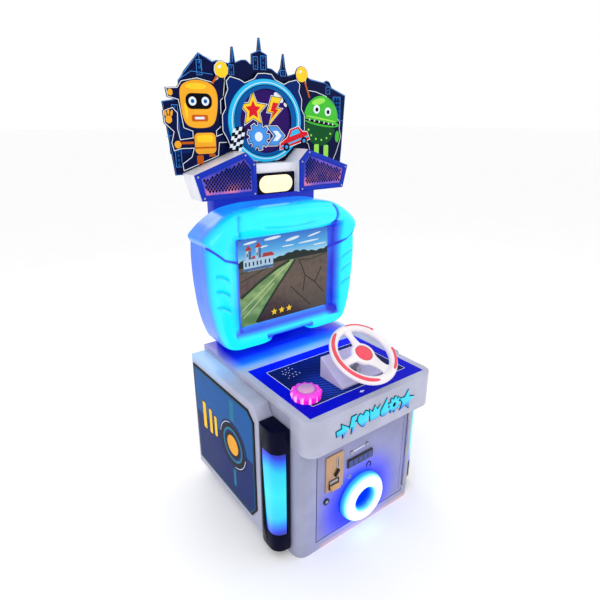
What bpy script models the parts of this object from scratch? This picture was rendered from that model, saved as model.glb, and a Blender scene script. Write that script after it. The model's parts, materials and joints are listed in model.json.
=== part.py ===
"""Racing cabinet for children, built from its separate pieces. Metres, +Z up.

The origin is the centre of the base's underside, on the floor. The player is at -Y, and +X is to
the right as the player sees it. Each moving piece has its origin on its joint's axis.
"""
import math

import bmesh
import bpy
from mathutils import Matrix, Vector

# ---------------------------------------------------------------- driving dimensions
GAP = 0.0003                # clearance between two pieces that touch
BASE_HALF = 0.255           # lower cabinet, half of its width
BASE_FRONT = -0.288
BASE_BACK = 0.290
WALL = 0.015                # board thickness of the lower cabinet
DECK_TOP = 0.530            # top of the console
DECK_THICK = 0.021
APRON_BOTTOM = 0.412
APRON_FRONT = -0.338
APRON_BACK = -0.252
DOOR_LEFT, DOOR_RIGHT = -0.1882, 0.2062
DOOR_BOTTOM, DOOR_TOP = 0.0340, 0.4040
DOOR_THICK = 0.012
FRONT_HINGE = (0.2080, -0.2925)
REAR_HINGE = (-0.2000, 0.2950)
REAR_DOOR = (-0.1997, 0.0600, 0.0953, 0.4597)       # left, right, bottom, top
POD_OUT = 0.308             # outer face of a side pod
POD_FRONT, POD_BACK = -0.161, 0.288
POD_BOTTOM, POD_TOP = 0.045, 0.5087
COLUMN_FRONT, COLUMN_BACK = 0.240, 0.289
COLUMN_HALF = 0.207
MARQUEE_BOTTOM = 1.062
MARQUEE_FRONT, MARQUEE_BACK = 0.171, 0.248
SCREEN_Y = 0.1325           # front of the monitor
SCREEN_HALF = 0.187
SCREEN_LOW, SCREEN_HIGH = 0.634, 0.935
RING_CENTRE = Vector((0.0, BASE_FRONT, 0.126))
BUTTON = Vector((-0.172, -0.214, 0.0))
WHEEL = Vector((0.022, -0.248, 0.627))              # centre of the steering wheel's rim
WHEEL_TILT = math.radians(30.0)                     # the shaft leans this far from upright
RIM_RADIUS, RIM_SECTION = 0.0985, 0.0138
GEAR_TEETH, GEAR_MODULE = 24, 0.0015
FAN = Vector((0.140, 0.262, 0.340))
LOCK = Vector((-0.148, BASE_FRONT, 0.179))
COIN_LEFT, COIN_RIGHT, COIN_LOW, COIN_HIGH = -0.154, -0.083, 0.214, 0.346
FLAP_AXIS = Vector((-0.1215, -0.2900, 0.2495))
LEVER_PIVOT = Vector((-0.106, -0.2945, 0.2840))
ROCKER = Vector((0.1500, 0.2905, 0.0540))

MODEL = bpy.data.collections.new("racing_cabinet")
CUTTERS = bpy.data.collections.new("cutters")


def clear_scene():
    """Empty the scene and link the two collections."""
    for item in list(bpy.data.objects):
        bpy.data.objects.remove(item, do_unlink=True)
    for collection in (MODEL, CUTTERS):
        bpy.context.scene.collection.children.link(collection)


# ---------------------------------------------------------------- materials
def material(name, colour, roughness, metallic=0.0, glow=0.0):
    """A Principled material; glow is the strength of its own light."""
    mat = bpy.data.materials.new(name)
    mat.use_nodes = True
    shader = mat.node_tree.nodes["Principled BSDF"]
    shader.inputs["Base Color"].default_value = (*colour, 1.0)
    shader.inputs["Roughness"].default_value = roughness
    shader.inputs["Metallic"].default_value = metallic
    shader.inputs["Emission Color"].default_value = (*colour, 1.0)
    shader.inputs["Emission Strength"].default_value = glow
    return mat


PEARL = material("pearl_paint", (0.72, 0.73, 0.80), 0.35)
WHITE = material("white_plastic", (0.88, 0.88, 0.90), 0.30)
PANEL_BLUE = material("panel_blue", (0.0, 0.01, 0.60), 0.25)
SIDE_BLUE = material("side_print", (0.0, 0.06, 0.33), 0.30)
NAVY = material("navy_plastic", (0.005, 0.01, 0.06), 0.25)
CYAN = material("glowing_cyan", (0.0, 0.85, 1.0), 0.35, glow=1.0)
BLUE = material("blue_paint", (0.0, 0.12, 0.75), 0.35)
BLACK = material("black_plastic", (0.012, 0.012, 0.016), 0.45)
STEEL = material("steel", (0.55, 0.55, 0.57), 0.30, metallic=1.0)
BRASS = material("brass", (0.72, 0.50, 0.32), 0.35, metallic=1.0)
CORAL = material("coral_rubber", (0.75, 0.07, 0.10), 0.50)
MAGENTA = material("glowing_magenta", (0.95, 0.02, 0.75), 0.30, glow=1.0)
MILK = material("milk_diffuser", (0.85, 0.97, 1.0), 0.40, glow=2.0)
WARM = material("warm_diffuser", (1.0, 0.93, 0.75), 0.40, glow=1.5)
GLASS = material("dark_display", (0.02, 0.03, 0.05), 0.10)
CIRCUIT = material("circuit_green", (0.01, 0.16, 0.06), 0.50)
ORANGE = material("orange_print", (0.95, 0.40, 0.05), 0.40)
GREEN = material("green_print", (0.12, 0.50, 0.10), 0.40)
PURPLE = material("purple_print", (0.08, 0.01, 0.20), 0.35)


# ---------------------------------------------------------------- outlines
def arc(centre, radius, start, end, steps):
    """Points along an arc, its angles in degrees."""
    turn = [math.radians(start + (end - start) * i / steps) for i in range(steps + 1)]
    return [(centre[0] + radius * math.cos(a), centre[1] + radius * math.sin(a)) for a in turn]


def rounded(corners, steps=5):
    """Outline through (x, y, radius) corners, each rounded by its radius."""
    points = []
    for i, (x, y, radius) in enumerate(corners):
        here = Vector((x, y))
        if radius <= 0:
            points.append((x, y))
            continue
        before = (Vector(corners[i - 1][:2]) - here).normalized()
        after = (Vector(corners[(i + 1) % len(corners)][:2]) - here).normalized()
        half = before.angle(after) / 2
        centre = here + (before + after).normalized() * radius / math.sin(half)
        first = here + before * radius / math.tan(half) - centre
        last = here + after * radius / math.tan(half) - centre
        start = math.atan2(first.y, first.x)
        sweep = (math.atan2(last.y, last.x) - start + math.pi) % (2 * math.pi) - math.pi
        for k in range(steps + 1):
            angle = start + sweep * k / steps
            points.append((centre.x + radius * math.cos(angle), centre.y + radius * math.sin(angle)))
    return points


def mirrored(half):
    """Full outline from the points of its +X half, listed from top to bottom."""
    return half + [(-x, y) for x, y in reversed(half) if x > 1e-9]


def rectangle(x0, x1, y0, y1, radius=0.0):
    """Rectangle outline with rounded corners."""
    return rounded([(x0, y0, radius), (x1, y0, radius), (x1, y1, radius), (x0, y1, radius)])


def stadium(x0, x1, y0, y1, steps=10):
    """Slot outline with two round ends."""
    radius = (y1 - y0) / 2
    middle = (y0 + y1) / 2
    return (arc((x1 - radius, middle), radius, -90, 90, steps)
            + arc((x0 + radius, middle), radius, 90, 270, steps))


def inset(outline, distance):
    """Outline moved inwards by a distance, its corners mitred."""
    count = len(outline)
    area = sum(outline[i - 1][0] * outline[i][1] - outline[i][0] * outline[i - 1][1] for i in range(count))
    side = math.copysign(1.0, area)
    points = []
    for i, (x, y) in enumerate(outline):
        before = (Vector((x, y)) - Vector(outline[i - 1])).normalized()
        after = (Vector(outline[(i + 1) % count]) - Vector((x, y))).normalized()
        mitre = Vector((-before.y - after.y, before.x + after.x)) * side
        mitre *= distance / (1 + before.dot(after))
        points.append((x + mitre.x, y + mitre.y))
    return points


def band(points, thickness):
    """Outline of a strip whose outer side is the given line."""
    inner = []
    for i, point in enumerate(points):
        before, after = Vector(points[max(i - 1, 0)]), Vector(points[min(i + 1, len(points) - 1)])
        along = (after - before).normalized()
        inner.append((point[0] - along.y * thickness, point[1] + along.x * thickness))
    return points + inner[::-1]


# ---------------------------------------------------------------- solids
FACING = {"up": (0, 0, 0), "front": (math.pi / 2, 0, 0), "side": (math.pi / 2, 0, math.pi / 2)}


def finish(item, mat, collection=MODEL):
    """Put an object in its collection with its material."""
    for old in list(item.users_collection):
        old.objects.unlink(item)
    collection.objects.link(item)
    if mat:
        item.data.materials.clear()
        item.data.materials.append(mat)
    if collection is CUTTERS:
        item.hide_render = True
        item.display_type = "WIRE"
    return item


def from_bmesh(name, mesh, mat, collection=MODEL):
    """Object made from a bmesh."""
    data = bpy.data.meshes.new(name)
    mesh.to_mesh(data)
    mesh.free()
    item = bpy.data.objects.new(name, data)
    return finish(item, mat, collection)


def block(name, x, y, z, mat=None, collection=MODEL, bevel=0.0, segments=2):
    """Box between the given ranges along X, Y and Z."""
    mesh = bmesh.new()
    size = Vector((x[1] - x[0], y[1] - y[0], z[1] - z[0]))
    middle = Vector((x[0] + x[1], y[0] + y[1], z[0] + z[1])) / 2
    bmesh.ops.create_cube(mesh, size=1.0, matrix=Matrix.Diagonal((*size, 1.0)))
    item = from_bmesh(name, mesh, mat, collection)
    item.location = middle
    if bevel:
        add_bevel(item, bevel, segments)
    return item


def add_bevel(item, width, segments=2):
    """Round an object's sharp edges."""
    rounding = item.modifiers.new("rounding", "BEVEL")
    rounding.width = width
    rounding.segments = segments
    rounding.limit_method = "ANGLE"
    rounding.angle_limit = math.radians(40)


def slab(name, outline, facing, start, end, mat=None, collection=MODEL):
    """Flat outline with a thickness, as a closed mesh.

    facing up: outline in X, Y and thickness along Z. front: X, Z and along Y. side: Y, Z and X.
    """
    curve = bpy.data.curves.new(name, "CURVE")
    curve.dimensions = "2D"
    curve.fill_mode = "BOTH"
    curve.extrude = abs(end - start) / 2
    line = curve.splines.new("POLY")
    line.points.add(len(outline) - 1)
    for point, (x, y) in zip(line.points, outline):
        point.co = (x, y, 0, 1)
    line.use_cyclic_u = True
    flat = bpy.data.objects.new(name, curve)
    bpy.context.scene.collection.objects.link(flat)
    flat.rotation_euler = FACING[facing]
    flat.location["xyz".index({"up": "z", "front": "y", "side": "x"}[facing])] = (start + end) / 2
    bpy.context.view_layer.update()
    shape = bpy.data.meshes.new_from_object(flat.evaluated_get(bpy.context.evaluated_depsgraph_get()))
    matrix = flat.matrix_world.copy()
    bpy.data.objects.remove(flat, do_unlink=True)
    mesh = bmesh.new()
    mesh.from_mesh(shape)
    bmesh.ops.remove_doubles(mesh, verts=mesh.verts, dist=0.00001)
    bmesh.ops.dissolve_limit(mesh, angle_limit=0.002, verts=mesh.verts, edges=mesh.edges)
    item = from_bmesh(name, mesh, mat, collection)
    item.matrix_world = matrix
    return item


def turned(name, profile, centre, direction, mat=None, collection=MODEL, steps=32, ring=False):
    """Profile of (radius, height) points turned about an axis through centre.

    The outer side runs from top to bottom. A ring's profile closes on itself.
    """
    mesh = bmesh.new()
    line = [mesh.verts.new((radius, 0, height)) for radius, height in profile]
    for first, second in zip(line, line[1:]):
        mesh.edges.new((first, second))
    if ring:
        mesh.edges.new((line[-1], line[0]))
    item = from_bmesh(name, mesh, mat, collection)
    screw = item.modifiers.new("turning", "SCREW")
    screw.steps = screw.render_steps = steps
    screw.use_merge_vertices = True
    screw.merge_threshold = 0.00001
    item.location = centre
    item.rotation_euler = Vector((0, 0, 1)).rotation_difference(Vector(direction)).to_euler()
    return item


def rod(name, radius, start, end, mat=None, collection=MODEL, steps=24):
    """Round bar between two points."""
    start, end = Vector(start), Vector(end)
    length = (end - start).length
    profile = [(0, length), (radius, length), (radius, 0), (0, 0)]
    return turned(name, profile, start, end - start, mat, collection, steps)


def merged(name, pieces):
    """One cutter object holding the given pieces' meshes where they lie."""
    bpy.context.view_layer.update()
    depsgraph = bpy.context.evaluated_depsgraph_get()
    mesh = bmesh.new()
    for piece in pieces:
        shape = bpy.data.meshes.new_from_object(piece.evaluated_get(depsgraph))
        shape.transform(piece.matrix_world)
        mesh.from_mesh(shape)
    for piece in pieces:
        bpy.data.objects.remove(piece, do_unlink=True)
    return from_bmesh(name, mesh, None, CUTTERS)


def combine(item, others, operation):
    """Boolean of an object with one or more other pieces at once."""
    for other in others:
        finish(other, None, CUTTERS)
    several = len(others) > 1
    other = merged(f"{item.name}_{operation.lower()}", others) if several else others[0]
    step = item.modifiers.new(other.name, "BOOLEAN")
    step.operation = operation
    step.solver = "EXACT"
    step.use_self = several
    step.object = other
    return item


def cut(item, *others):
    """Take the others out of the item."""
    return combine(item, others, "DIFFERENCE")


def add(item, *others):
    """Join the others to the item as one solid."""
    return combine(item, others, "UNION")


def sleeve(name, outer, inner, low, high):
    """Upright tube between two points, for a hinge's knuckle."""
    length = high[2] - low[2]
    profile = [(inner, length), (outer, length), (outer, 0), (inner, 0)]
    return turned(name, profile, low, (0, 0, 1), steps=16, ring=True)


def cutter_box(name, x, y, z):
    """Box that only cuts."""
    return block(name, x, y, z, None, CUTTERS)


def set_origin(item, point):
    """Move an object's origin onto its joint's axis, leaving its shape where it is."""
    bpy.context.view_layer.update()
    point = Vector(point)
    shift = item.matrix_world.inverted() @ point
    item.data.transform(Matrix.Translation(-shift))
    item.location = point


# ---------------------------------------------------------------- lower cabinet
def base_cabinet():
    """Carcass of boards: a floor, four walls, two door openings and the fan's slots."""
    outline = rounded([(-BASE_HALF, BASE_FRONT, 0.035), (BASE_HALF, BASE_FRONT, 0.035),
                       (BASE_HALF, BASE_BACK, 0.004), (-BASE_HALF, BASE_BACK, 0.004)])
    top = DECK_TOP - DECK_THICK - GAP
    base = slab("base_cabinet", outline, "up", 0.0, top, PEARL)
    inside = BASE_HALF - WALL
    through = (BASE_BACK - WALL - 0.005, BASE_BACK + 0.01)
    left, right, low, high = REAR_DOOR
    holes = [cutter_box("cut_inside", (-inside, inside), (BASE_FRONT + WALL, BASE_BACK - WALL),
                        (WALL, top + 0.01)),
             cutter_box("cut_front_door", (DOOR_LEFT - GAP, DOOR_RIGHT + GAP),
                        (BASE_FRONT - 0.01, BASE_FRONT + WALL + 0.005),
                        (DOOR_BOTTOM - 0.0005, DOOR_TOP + 0.0005)),
             cutter_box("cut_rear_door", (left - GAP, right + GAP), through, (low - GAP, high + GAP)),
             cutter_box("cut_inlet", (0.110, 0.160), through, (0.040, 0.068))]
    for i in range(5):
        z = FAN.z - 0.026 + 0.013 * i
        holes.append(cutter_box(f"cut_fan_slot_{i}", (FAN.x - 0.030, FAN.x + 0.030), through,
                                (z - 0.003, z + 0.003)))
    cut(base, *holes)
    x, y = REAR_HINGE
    lugs = []
    for i, z in enumerate((0.140, 0.390)):
        lugs += [block(f"rear_lug_{i}", (x - 0.016, x - 0.0006), (BASE_BACK - 0.001, y + 0.0025),
                       (z, z + 0.018)),
                 rod(f"rear_barrel_{i}", 0.004, (x, y, z + 0.0002), (x, y, z + 0.0178), steps=16),
                 rod(f"rear_pin_{i}", 0.0020, (x, y, z + 0.016), (x, y, z + 0.034), steps=16)]
    add(base, *lugs)


def side_pod(side, sign):
    """Box on a side wall with a clipped upper front corner, open towards the wall."""
    outline = [(POD_FRONT, POD_BOTTOM), (POD_BACK, POD_BOTTOM), (POD_BACK, POD_TOP),
               (POD_FRONT + 0.024, POD_TOP), (POD_FRONT, POD_TOP - 0.043)]
    inner = sign * (BASE_HALF + GAP)
    pod = slab(f"side_pod_{side}", outline, "side", inner, sign * POD_OUT, PEARL)
    hollow = [(POD_FRONT + 0.008, POD_BOTTOM + 0.008), (POD_BACK - 0.008, POD_BOTTOM + 0.008),
              (POD_BACK - 0.008, POD_TOP - 0.008), (POD_FRONT + 0.028, POD_TOP - 0.008),
              (POD_FRONT + 0.008, POD_TOP - 0.044)]
    cut(pod, slab(f"cut_pod_{side}", hollow, "side", inner - sign * 0.01, sign * (POD_OUT - 0.008)))


def side_graphic(side, sign):
    """Printed plate on a pod's outer face."""
    outline = [(0.275, 0.478), (-0.104, 0.481), (-0.138, 0.450), (-0.1385, 0.118),
               (-0.107, 0.076), (0.270, 0.080)]
    start = sign * (POD_OUT + GAP)
    slab(f"side_graphic_{side}", outline, "side", start, start + sign * 0.003, SIDE_BLUE)


def lamp_corner(sign, depth):
    """Rounded outer corner of a lamp housing in plan, from its back to its front."""
    points = [(0.3125 - depth, -0.178), (0.3130 - depth, -0.205)]
    points += arc((0.2755, -0.2135), 0.0375 - depth, 0, -78, 6)[1:]
    return [(sign * x, y) for x, y in points]


def lamp_housing(side, sign):
    """Dark post in the notch ahead of a pod, with a pocket for the lens."""
    rear = [(sign * 0.2600, -0.2520), (sign * 0.2583, -0.2500), (sign * 0.2583, -0.1640),
            (sign * 0.3080, -0.1640)]
    housing = slab(f"lamp_housing_{side}", lamp_corner(sign, 0.0) + rear, "up", 0.030, 0.472, NAVY)
    core = [(0.3400, -0.1790), (0.3005, -0.1790), (0.3000, -0.2080), (0.2870, -0.2300),
            (0.2690, -0.2395), (0.2690, -0.2800), (0.3400, -0.2800)]
    pocket = [(sign * x, y) for x, y in core]
    cut(housing, slab(f"cut_lamp_{side}", pocket, "up", 0.095, 0.395))


def lamp_lens(side, sign):
    """Curved diffuser in a lamp housing's pocket."""
    line = [point for point in lamp_corner(1, 0.0008) if point[1] < -0.1795]
    line = [(line[0][0], -0.1796)] + line[1:] + [(0.2730, -0.2513)]
    strip = [(sign * x, y) for x, y in band(line, -0.003)]
    slab(f"lamp_lens_{side}", strip, "up", 0.0953, 0.3947, CYAN)


# ---------------------------------------------------------------- console
def console_tray():
    """Deck with an apron at the front, a rebate for the control panel and an opening below it."""
    half = BASE_HALF + 0.0025
    outline = rounded([(-half, APRON_FRONT, 0.040), (half, APRON_FRONT, 0.040),
                       (half, BASE_BACK, 0.004), (-half, BASE_BACK, 0.004)], steps=7)
    tray = slab("console_tray", outline, "up", APRON_BOTTOM, DECK_TOP, PEARL)
    skirt, wall = BASE_HALF + GAP, half - 0.008
    front = APRON_FRONT + 0.008
    under = [(-skirt, APRON_BACK + 0.01), (-skirt, -0.256), (-wall, -0.290)]
    under += arc((-wall + 0.032, front + 0.032), 0.032, 180, 270, 5)
    under += [(-x, y) for x, y in reversed(under)]
    deck_under = DECK_TOP - DECK_THICK
    cut(tray, cutter_box("cut_behind_apron", (-0.30, 0.30), (APRON_BACK, 0.32),
                         (APRON_BOTTOM - 0.01, deck_under)))
    cut(tray, slab("cut_under_deck", under, "up", APRON_BOTTOM - 0.01, deck_under))
    cut(tray, cutter_box("cut_rebate", (-0.2333, 0.2333), (-0.3123, 0.0203), (0.5264, 0.55)))
    cut(tray, cutter_box("cut_opening", (-0.215, 0.215), (-0.294, 0.002), (0.50, 0.54)),
        cutter_box("cut_cables", (-0.060, 0.060), (0.2500, 0.2800), (0.50, 0.54)))


def control_panel():
    """Printed plate let into the deck, with holes for the button and the steering column."""
    panel = block("control_panel", (-0.233, 0.233), (-0.312, 0.020), (0.5267, 0.5297), PANEL_BLUE)
    cut(panel, rod("cut_button", 0.0152, BUTTON + Vector((0, 0, 0.52)), BUTTON + Vector((0, 0, 0.54))))
    cut(panel, rod("cut_column", 0.0150, column_point(0.06), column_point(0.16)))


# ---------------------------------------------------------------- steering
DOWN_COLUMN = Vector((0, math.sin(WHEEL_TILT), -math.cos(WHEEL_TILT)))


def column_point(distance, across=0.0):
    """Point on the steering column, measured down from the wheel's centre."""
    return WHEEL + DOWN_COLUMN * distance + Vector((across, 0, 0))


def wheel_bracket():
    """Wedge that carries the column, open underneath, with a sunk sloping face."""
    rise = math.tan(WHEEL_TILT)
    front, back, lip = -0.251, -0.145, 0.5380
    top = lip + (back - front) * rise
    outline = [(front, 0.5300), (back, 0.5300), (back, top), (front, lip)]
    left, right = WHEEL.x - 0.086, WHEEL.x + 0.086
    bracket = slab("wheel_bracket", outline, "side", left, right, WHITE)
    add_bevel(bracket, 0.0012, 1)
    wall = 0.004
    lower = [(front + wall, 0.52), (back - wall, 0.52), (back - wall, top - wall * 2.4),
             (front + wall, lip - wall * 0.6)]
    cut(bracket, slab("cut_bracket_inside", lower, "side", left + wall, right - wall))
    sunk = [(front + 0.006, lip + 0.006 * rise - 0.0015), (back - 0.006, top - 0.006 * rise - 0.0015),
            (back - 0.006, top + 0.02), (front + 0.006, lip + 0.03)]
    cut(bracket, slab("cut_bracket_face", sunk, "side", left + 0.006, right - 0.006))
    cut(bracket, rod("cut_bracket_hole", 0.0150, column_point(0.05), column_point(0.12)))


def steering_bearing():
    """Flanged sleeve through the bracket and the panel, with an arm for the turn sensor."""
    face = 0.0738
    profile = [(0.0140, face), (0.0225, face + 0.0005), (0.0240, face + 0.0020), (0.0240, face + 0.0028),
               (0.0138, face + 0.0028), (0.0138, 0.1480), (0.0080, 0.1480), (0.0080, face)]
    profile = [(radius, -height) for radius, height in profile]
    bearing = turned("steering_bearing", profile, WHEEL, -DOWN_COLUMN, STEEL, steps=20, ring=True)
    arm = slab("bearing_arm", stadium(-0.006, 0.049, -0.011, 0.011, 6), "up", 0.0, 0.003)
    arm.matrix_world = column_frame(0.1490)
    cut(arm, rod("cut_arm", 0.0100, column_point(0.140), column_point(0.155)))
    cut(arm, rod("cut_arm_sensor", 0.0040, column_point(0.140, 0.036), column_point(0.155, 0.036)))
    add(bearing, arm)


def column_frame(distance, across=0.0):
    """Frame whose Z runs up the steering column and whose X is the cabinet's."""
    turn = Vector((0, 0, 1)).rotation_difference(-DOWN_COLUMN).to_matrix().to_4x4()
    return Matrix.Translation(column_point(distance, across)) @ turn


def steering_shaft():
    """Shaft from the hub down to the gear, with a collar that rests on the bearing."""
    profile = [(0, -0.0035), (0.0070, -0.0035), (0.0075, -0.0045), (0.0075, -0.0660), (0.0110, -0.0665),
               (0.0110, -0.0730), (0.0075, -0.0735), (0.0075, -0.1700), (0, -0.1700)]
    turned("steering_shaft", profile, WHEEL, -DOWN_COLUMN, STEEL, steps=16)


SPOKES = ((90, 0.0135), (186, 0.0135), (296, 0.0200))     # direction and half width of each spoke


def steering_wheel():
    """Rim, three spokes and the hub, moulded as one piece."""
    section = [(RIM_RADIUS + RIM_SECTION * math.cos(a), 0.93 * RIM_SECTION * math.sin(a))
               for a in (math.radians(90 - 36 * i) for i in range(10))]
    wheel = turned("steering_wheel", section, WHEEL, -DOWN_COLUMN, WHITE, steps=44, ring=True)
    hub = turned("wheel_hub", [(0, 0.004), (0.0330, 0.004), (0.0400, -0.001), (0.0400, -0.010),
                               (0.0260, -0.020), (0, -0.020)], WHEEL, -DOWN_COLUMN, steps=28)
    add(wheel, hub)
    for i, (direction, half) in enumerate(SPOKES):
        outline = [(0.020, -half * 1.25), (0.060, -half * 0.82), (0.096, -half * 1.25),
                   (0.096, half * 1.25), (0.060, half * 0.82), (0.020, half * 1.25)]
        spoke = slab(f"spoke_{i}", outline, "up", 0.0, 0.012)
        spoke.matrix_world = (column_frame(0.003) @ Matrix.Rotation(math.radians(direction), 4, "Z"))
        add(wheel, spoke)
    cut(wheel, rod("cut_hub_bore", 0.0080, column_point(-0.02), column_point(0.03)))
    cut(wheel, rod("cut_hub_seat", 0.0290, column_point(-0.02), column_point(0.0), steps=32))


def wheel_grip(name, start, end, radius, width):
    """Soft strip on the rim's upper side."""
    height = 0.93 * RIM_SECTION + GAP
    steps = max(6, round((end - start) / 10))
    outline = arc((0, 0), radius + width / 2, start, end, steps)
    outline += arc((0, 0), radius - width / 2, end, start, steps)
    grip = slab(name, outline, "up", height, height + 0.0022, CORAL)
    grip.matrix_world = column_frame(-(height + 0.0011))
    return grip


def hub_cap():
    """Round cap in the hub's seat, over the end of the shaft."""
    profile = [(0, 0.0062), (0.0150, 0.0056), (0.0250, 0.0038), (0.0283, 0.0016), (0.0283, GAP), (0, GAP)]
    turned("hub_cap", profile, WHEEL, -DOWN_COLUMN, CORAL, steps=28)


def gear_outline(phase):
    """Outline of a straight-toothed gear, a tooth's middle at the phase angle."""
    pitch = GEAR_MODULE * GEAR_TEETH / 2
    root, tip = pitch - 1.2 * GEAR_MODULE, pitch + 0.85 * GEAR_MODULE
    root_half, tip_half = math.degrees(0.98 * GEAR_MODULE / root), math.degrees(0.34 * GEAR_MODULE / tip)
    points = []
    for tooth in range(GEAR_TEETH):
        middle = phase + 360 * tooth / GEAR_TEETH
        for radius, offset in ((root, -root_half), (tip, -tip_half), (tip, tip_half), (root, root_half)):
            angle = math.radians(middle + offset)
            points.append((radius * math.cos(angle), radius * math.sin(angle)))
    return points


def gears():
    """Gear on the shaft's end and the sensor's gear beside it."""
    gear = slab("steering_gear", gear_outline(0), "up", 0.0, 0.007, BLACK)
    gear.matrix_world = column_frame(0.1620)
    cut(gear, rod("cut_gear_bore", 0.0079, column_point(0.15), column_point(0.18)))
    pinion = slab("sensor_gear", gear_outline(180 + 180 / GEAR_TEETH), "up", 0.0, 0.007, WHITE)
    pinion.matrix_world = column_frame(0.1620, 0.036)
    add(pinion, rod("sensor_spindle", 0.0030, column_point(0.1360, 0.036), column_point(0.1600, 0.036)))


def sensor_body():
    """Turn sensor's case, standing on the bearing's arm round the sensor gear's spindle."""
    profile = [(0.0100, -0.1300), (0.0110, -0.1310), (0.0110, -0.1472), (0.0036, -0.1472),
               (0.0036, -0.1300)]
    turned("sensor_body", profile, WHEEL + Vector((0.036, 0, 0)), -DOWN_COLUMN, BLACK, steps=16,
           ring=True)


# ---------------------------------------------------------------- start button
def start_button():
    """Bezel with a threaded neck, sprung cap and the switch under it."""
    bezel = [(0.0300, 0.5570), (0.0400, 0.5545), (0.0465, 0.5475), (0.0475, 0.5400), (0.0440, 0.5330),
             (0.0440, 0.5300), (0.0148, 0.5300), (0.0148, 0.4950), (0.0112, 0.4950), (0.0112, 0.5330),
             (0.0262, 0.5330), (0.0262, 0.5560)]
    turned("button_bezel", bezel, BUTTON, (0, 0, 1), MAGENTA, steps=24, ring=True)
    cap = [(0, 0.5640), (0.0150, 0.5630), (0.0235, 0.5600), (0.0257, 0.5560), (0.0257, 0.5400),
           (0.0107, 0.5400), (0.0107, 0.5000), (0, 0.5000)]
    turned("button_cap", cap, BUTTON, (0, 0, 1), MAGENTA, steps=24)
    block("button_switch", (BUTTON.x - 0.010, BUTTON.x + 0.010), (BUTTON.y - 0.007, BUTTON.y + 0.007),
          (0.4700, 0.4946), BLACK, bevel=0.001, segments=1)


def button_spring():
    """Coil between the bezel's floor and the cap's shoulder."""
    turns, per_turn, wire = 3, 12, 0.0008
    low, high = 0.5333 + wire, 0.5397 - wire
    curve = bpy.data.curves.new("button_spring", "CURVE")
    curve.dimensions = "3D"
    curve.bevel_depth = wire
    curve.bevel_resolution = 2
    curve.use_fill_caps = True
    line = curve.splines.new("POLY")
    count = turns * per_turn
    line.points.add(count)
    for i, point in enumerate(line.points):
        angle = 2 * math.pi * i / per_turn
        point.co = (0.0165 * math.cos(angle), 0.0165 * math.sin(angle), low + (high - low) * i / count, 1)
    spring = bpy.data.objects.new("button_spring", curve)
    spring.location = BUTTON
    finish(spring, STEEL)


# ---------------------------------------------------------------- front door
def front_door():
    """Flush door with its leaf of the hinge and cut-outs for what it carries."""
    x, y = FRONT_HINGE
    back = BASE_FRONT + DOOR_THICK
    door = block("front_door", (DOOR_LEFT, DOOR_RIGHT), (BASE_FRONT, back), (DOOR_BOTTOM, DOOR_TOP), PEARL)
    through = Vector((0, 0.03, 0))
    cut(door, cutter_box("cut_coin", (-0.1485, -0.0885), (-0.31, -0.26), (0.2235, 0.3365)),
        rod("cut_ring", 0.0385, RING_CENTRE - through, RING_CENTRE + through, steps=32),
        rod("cut_lock", 0.0098, LOCK - through, LOCK + through, steps=16))
    plates = [block("door_leaf", (0.1900, 0.2043), (BASE_FRONT - 0.0018, BASE_FRONT + 0.001), (0.050, 0.390))]
    for i, (low, high) in enumerate(((0.1003, 0.1997), (0.2403, 0.3397))):
        plates += [block(f"door_tab_{i}", (0.2035, x - 0.0004), (BASE_FRONT - 0.0016, BASE_FRONT - 0.0006),
                         (low + 0.0002, high - 0.0002)),
                   sleeve(f"door_knuckle_{i}", 0.0035, 0.0023, (x, y, low), (x, y, high))]
    add(door, *plates)
    set_origin(door, (x, y, 0))


def front_hinge():
    """Leaf on the cabinet's front with three knuckles and the pin."""
    x, y = FRONT_HINGE
    leaf = block("front_hinge", (0.2118, 0.2220), (BASE_FRONT - 0.0018, BASE_FRONT - GAP),
                 (0.050, 0.390), STEEL)
    knuckles = [rod("hinge_pin", 0.0018, (x, y, 0.061), (x, y, 0.379), steps=16)]
    for i, (low, high) in enumerate(((0.060, 0.100), (0.200, 0.240), (0.340, 0.380))):
        knuckles += [block(f"hinge_tab_{i}", (x + 0.0004, 0.2125), (BASE_FRONT - 0.0016, BASE_FRONT - 0.0006),
                           (low + 0.0002, high - 0.0002)),
                     rod(f"hinge_knuckle_{i}", 0.0035, (x, y, low), (x, y, high), steps=16)]
    add(leaf, *knuckles)


def coin_acceptor():
    """Face plate with the coin slot and the return cup, and the mechanism's case behind it."""
    face = BASE_FRONT - GAP
    outline = rectangle(COIN_LEFT, COIN_RIGHT, COIN_LOW, COIN_HIGH, 0.003)
    plate = slab("coin_acceptor", outline, "front", face - 0.0032, face, BRASS)
    add(plate, block("coin_case", (-0.1480, -0.0890), (face - 0.001, -0.2150), (0.2240, 0.3360)))
    cut(plate, cutter_box("cut_coin_slot", (-0.1076, -0.1044), (-0.30, -0.26), (0.2960, 0.3240)))
    cut(plate, cutter_box("cut_cup", (-0.1390, -0.1040), (-0.30, -0.2640), (0.2255, 0.2520)))


def coin_small_parts():
    """Return lever and return flap."""
    lever = slab("coin_return_lever", stadium(-0.004, 0.024, -0.0045, 0.0045, 5), "front",
                 -0.2975, -0.2920, BLACK)
    lever.rotation_euler = (math.pi / 2, math.radians(125), 0)
    lever.location = LEVER_PIVOT
    flap = block("coin_reject_flap", (-0.1383, -0.1047), (-0.2909, -0.2891), (0.2262, 0.2508), STEEL)
    set_origin(flap, FLAP_AXIS)


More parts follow.
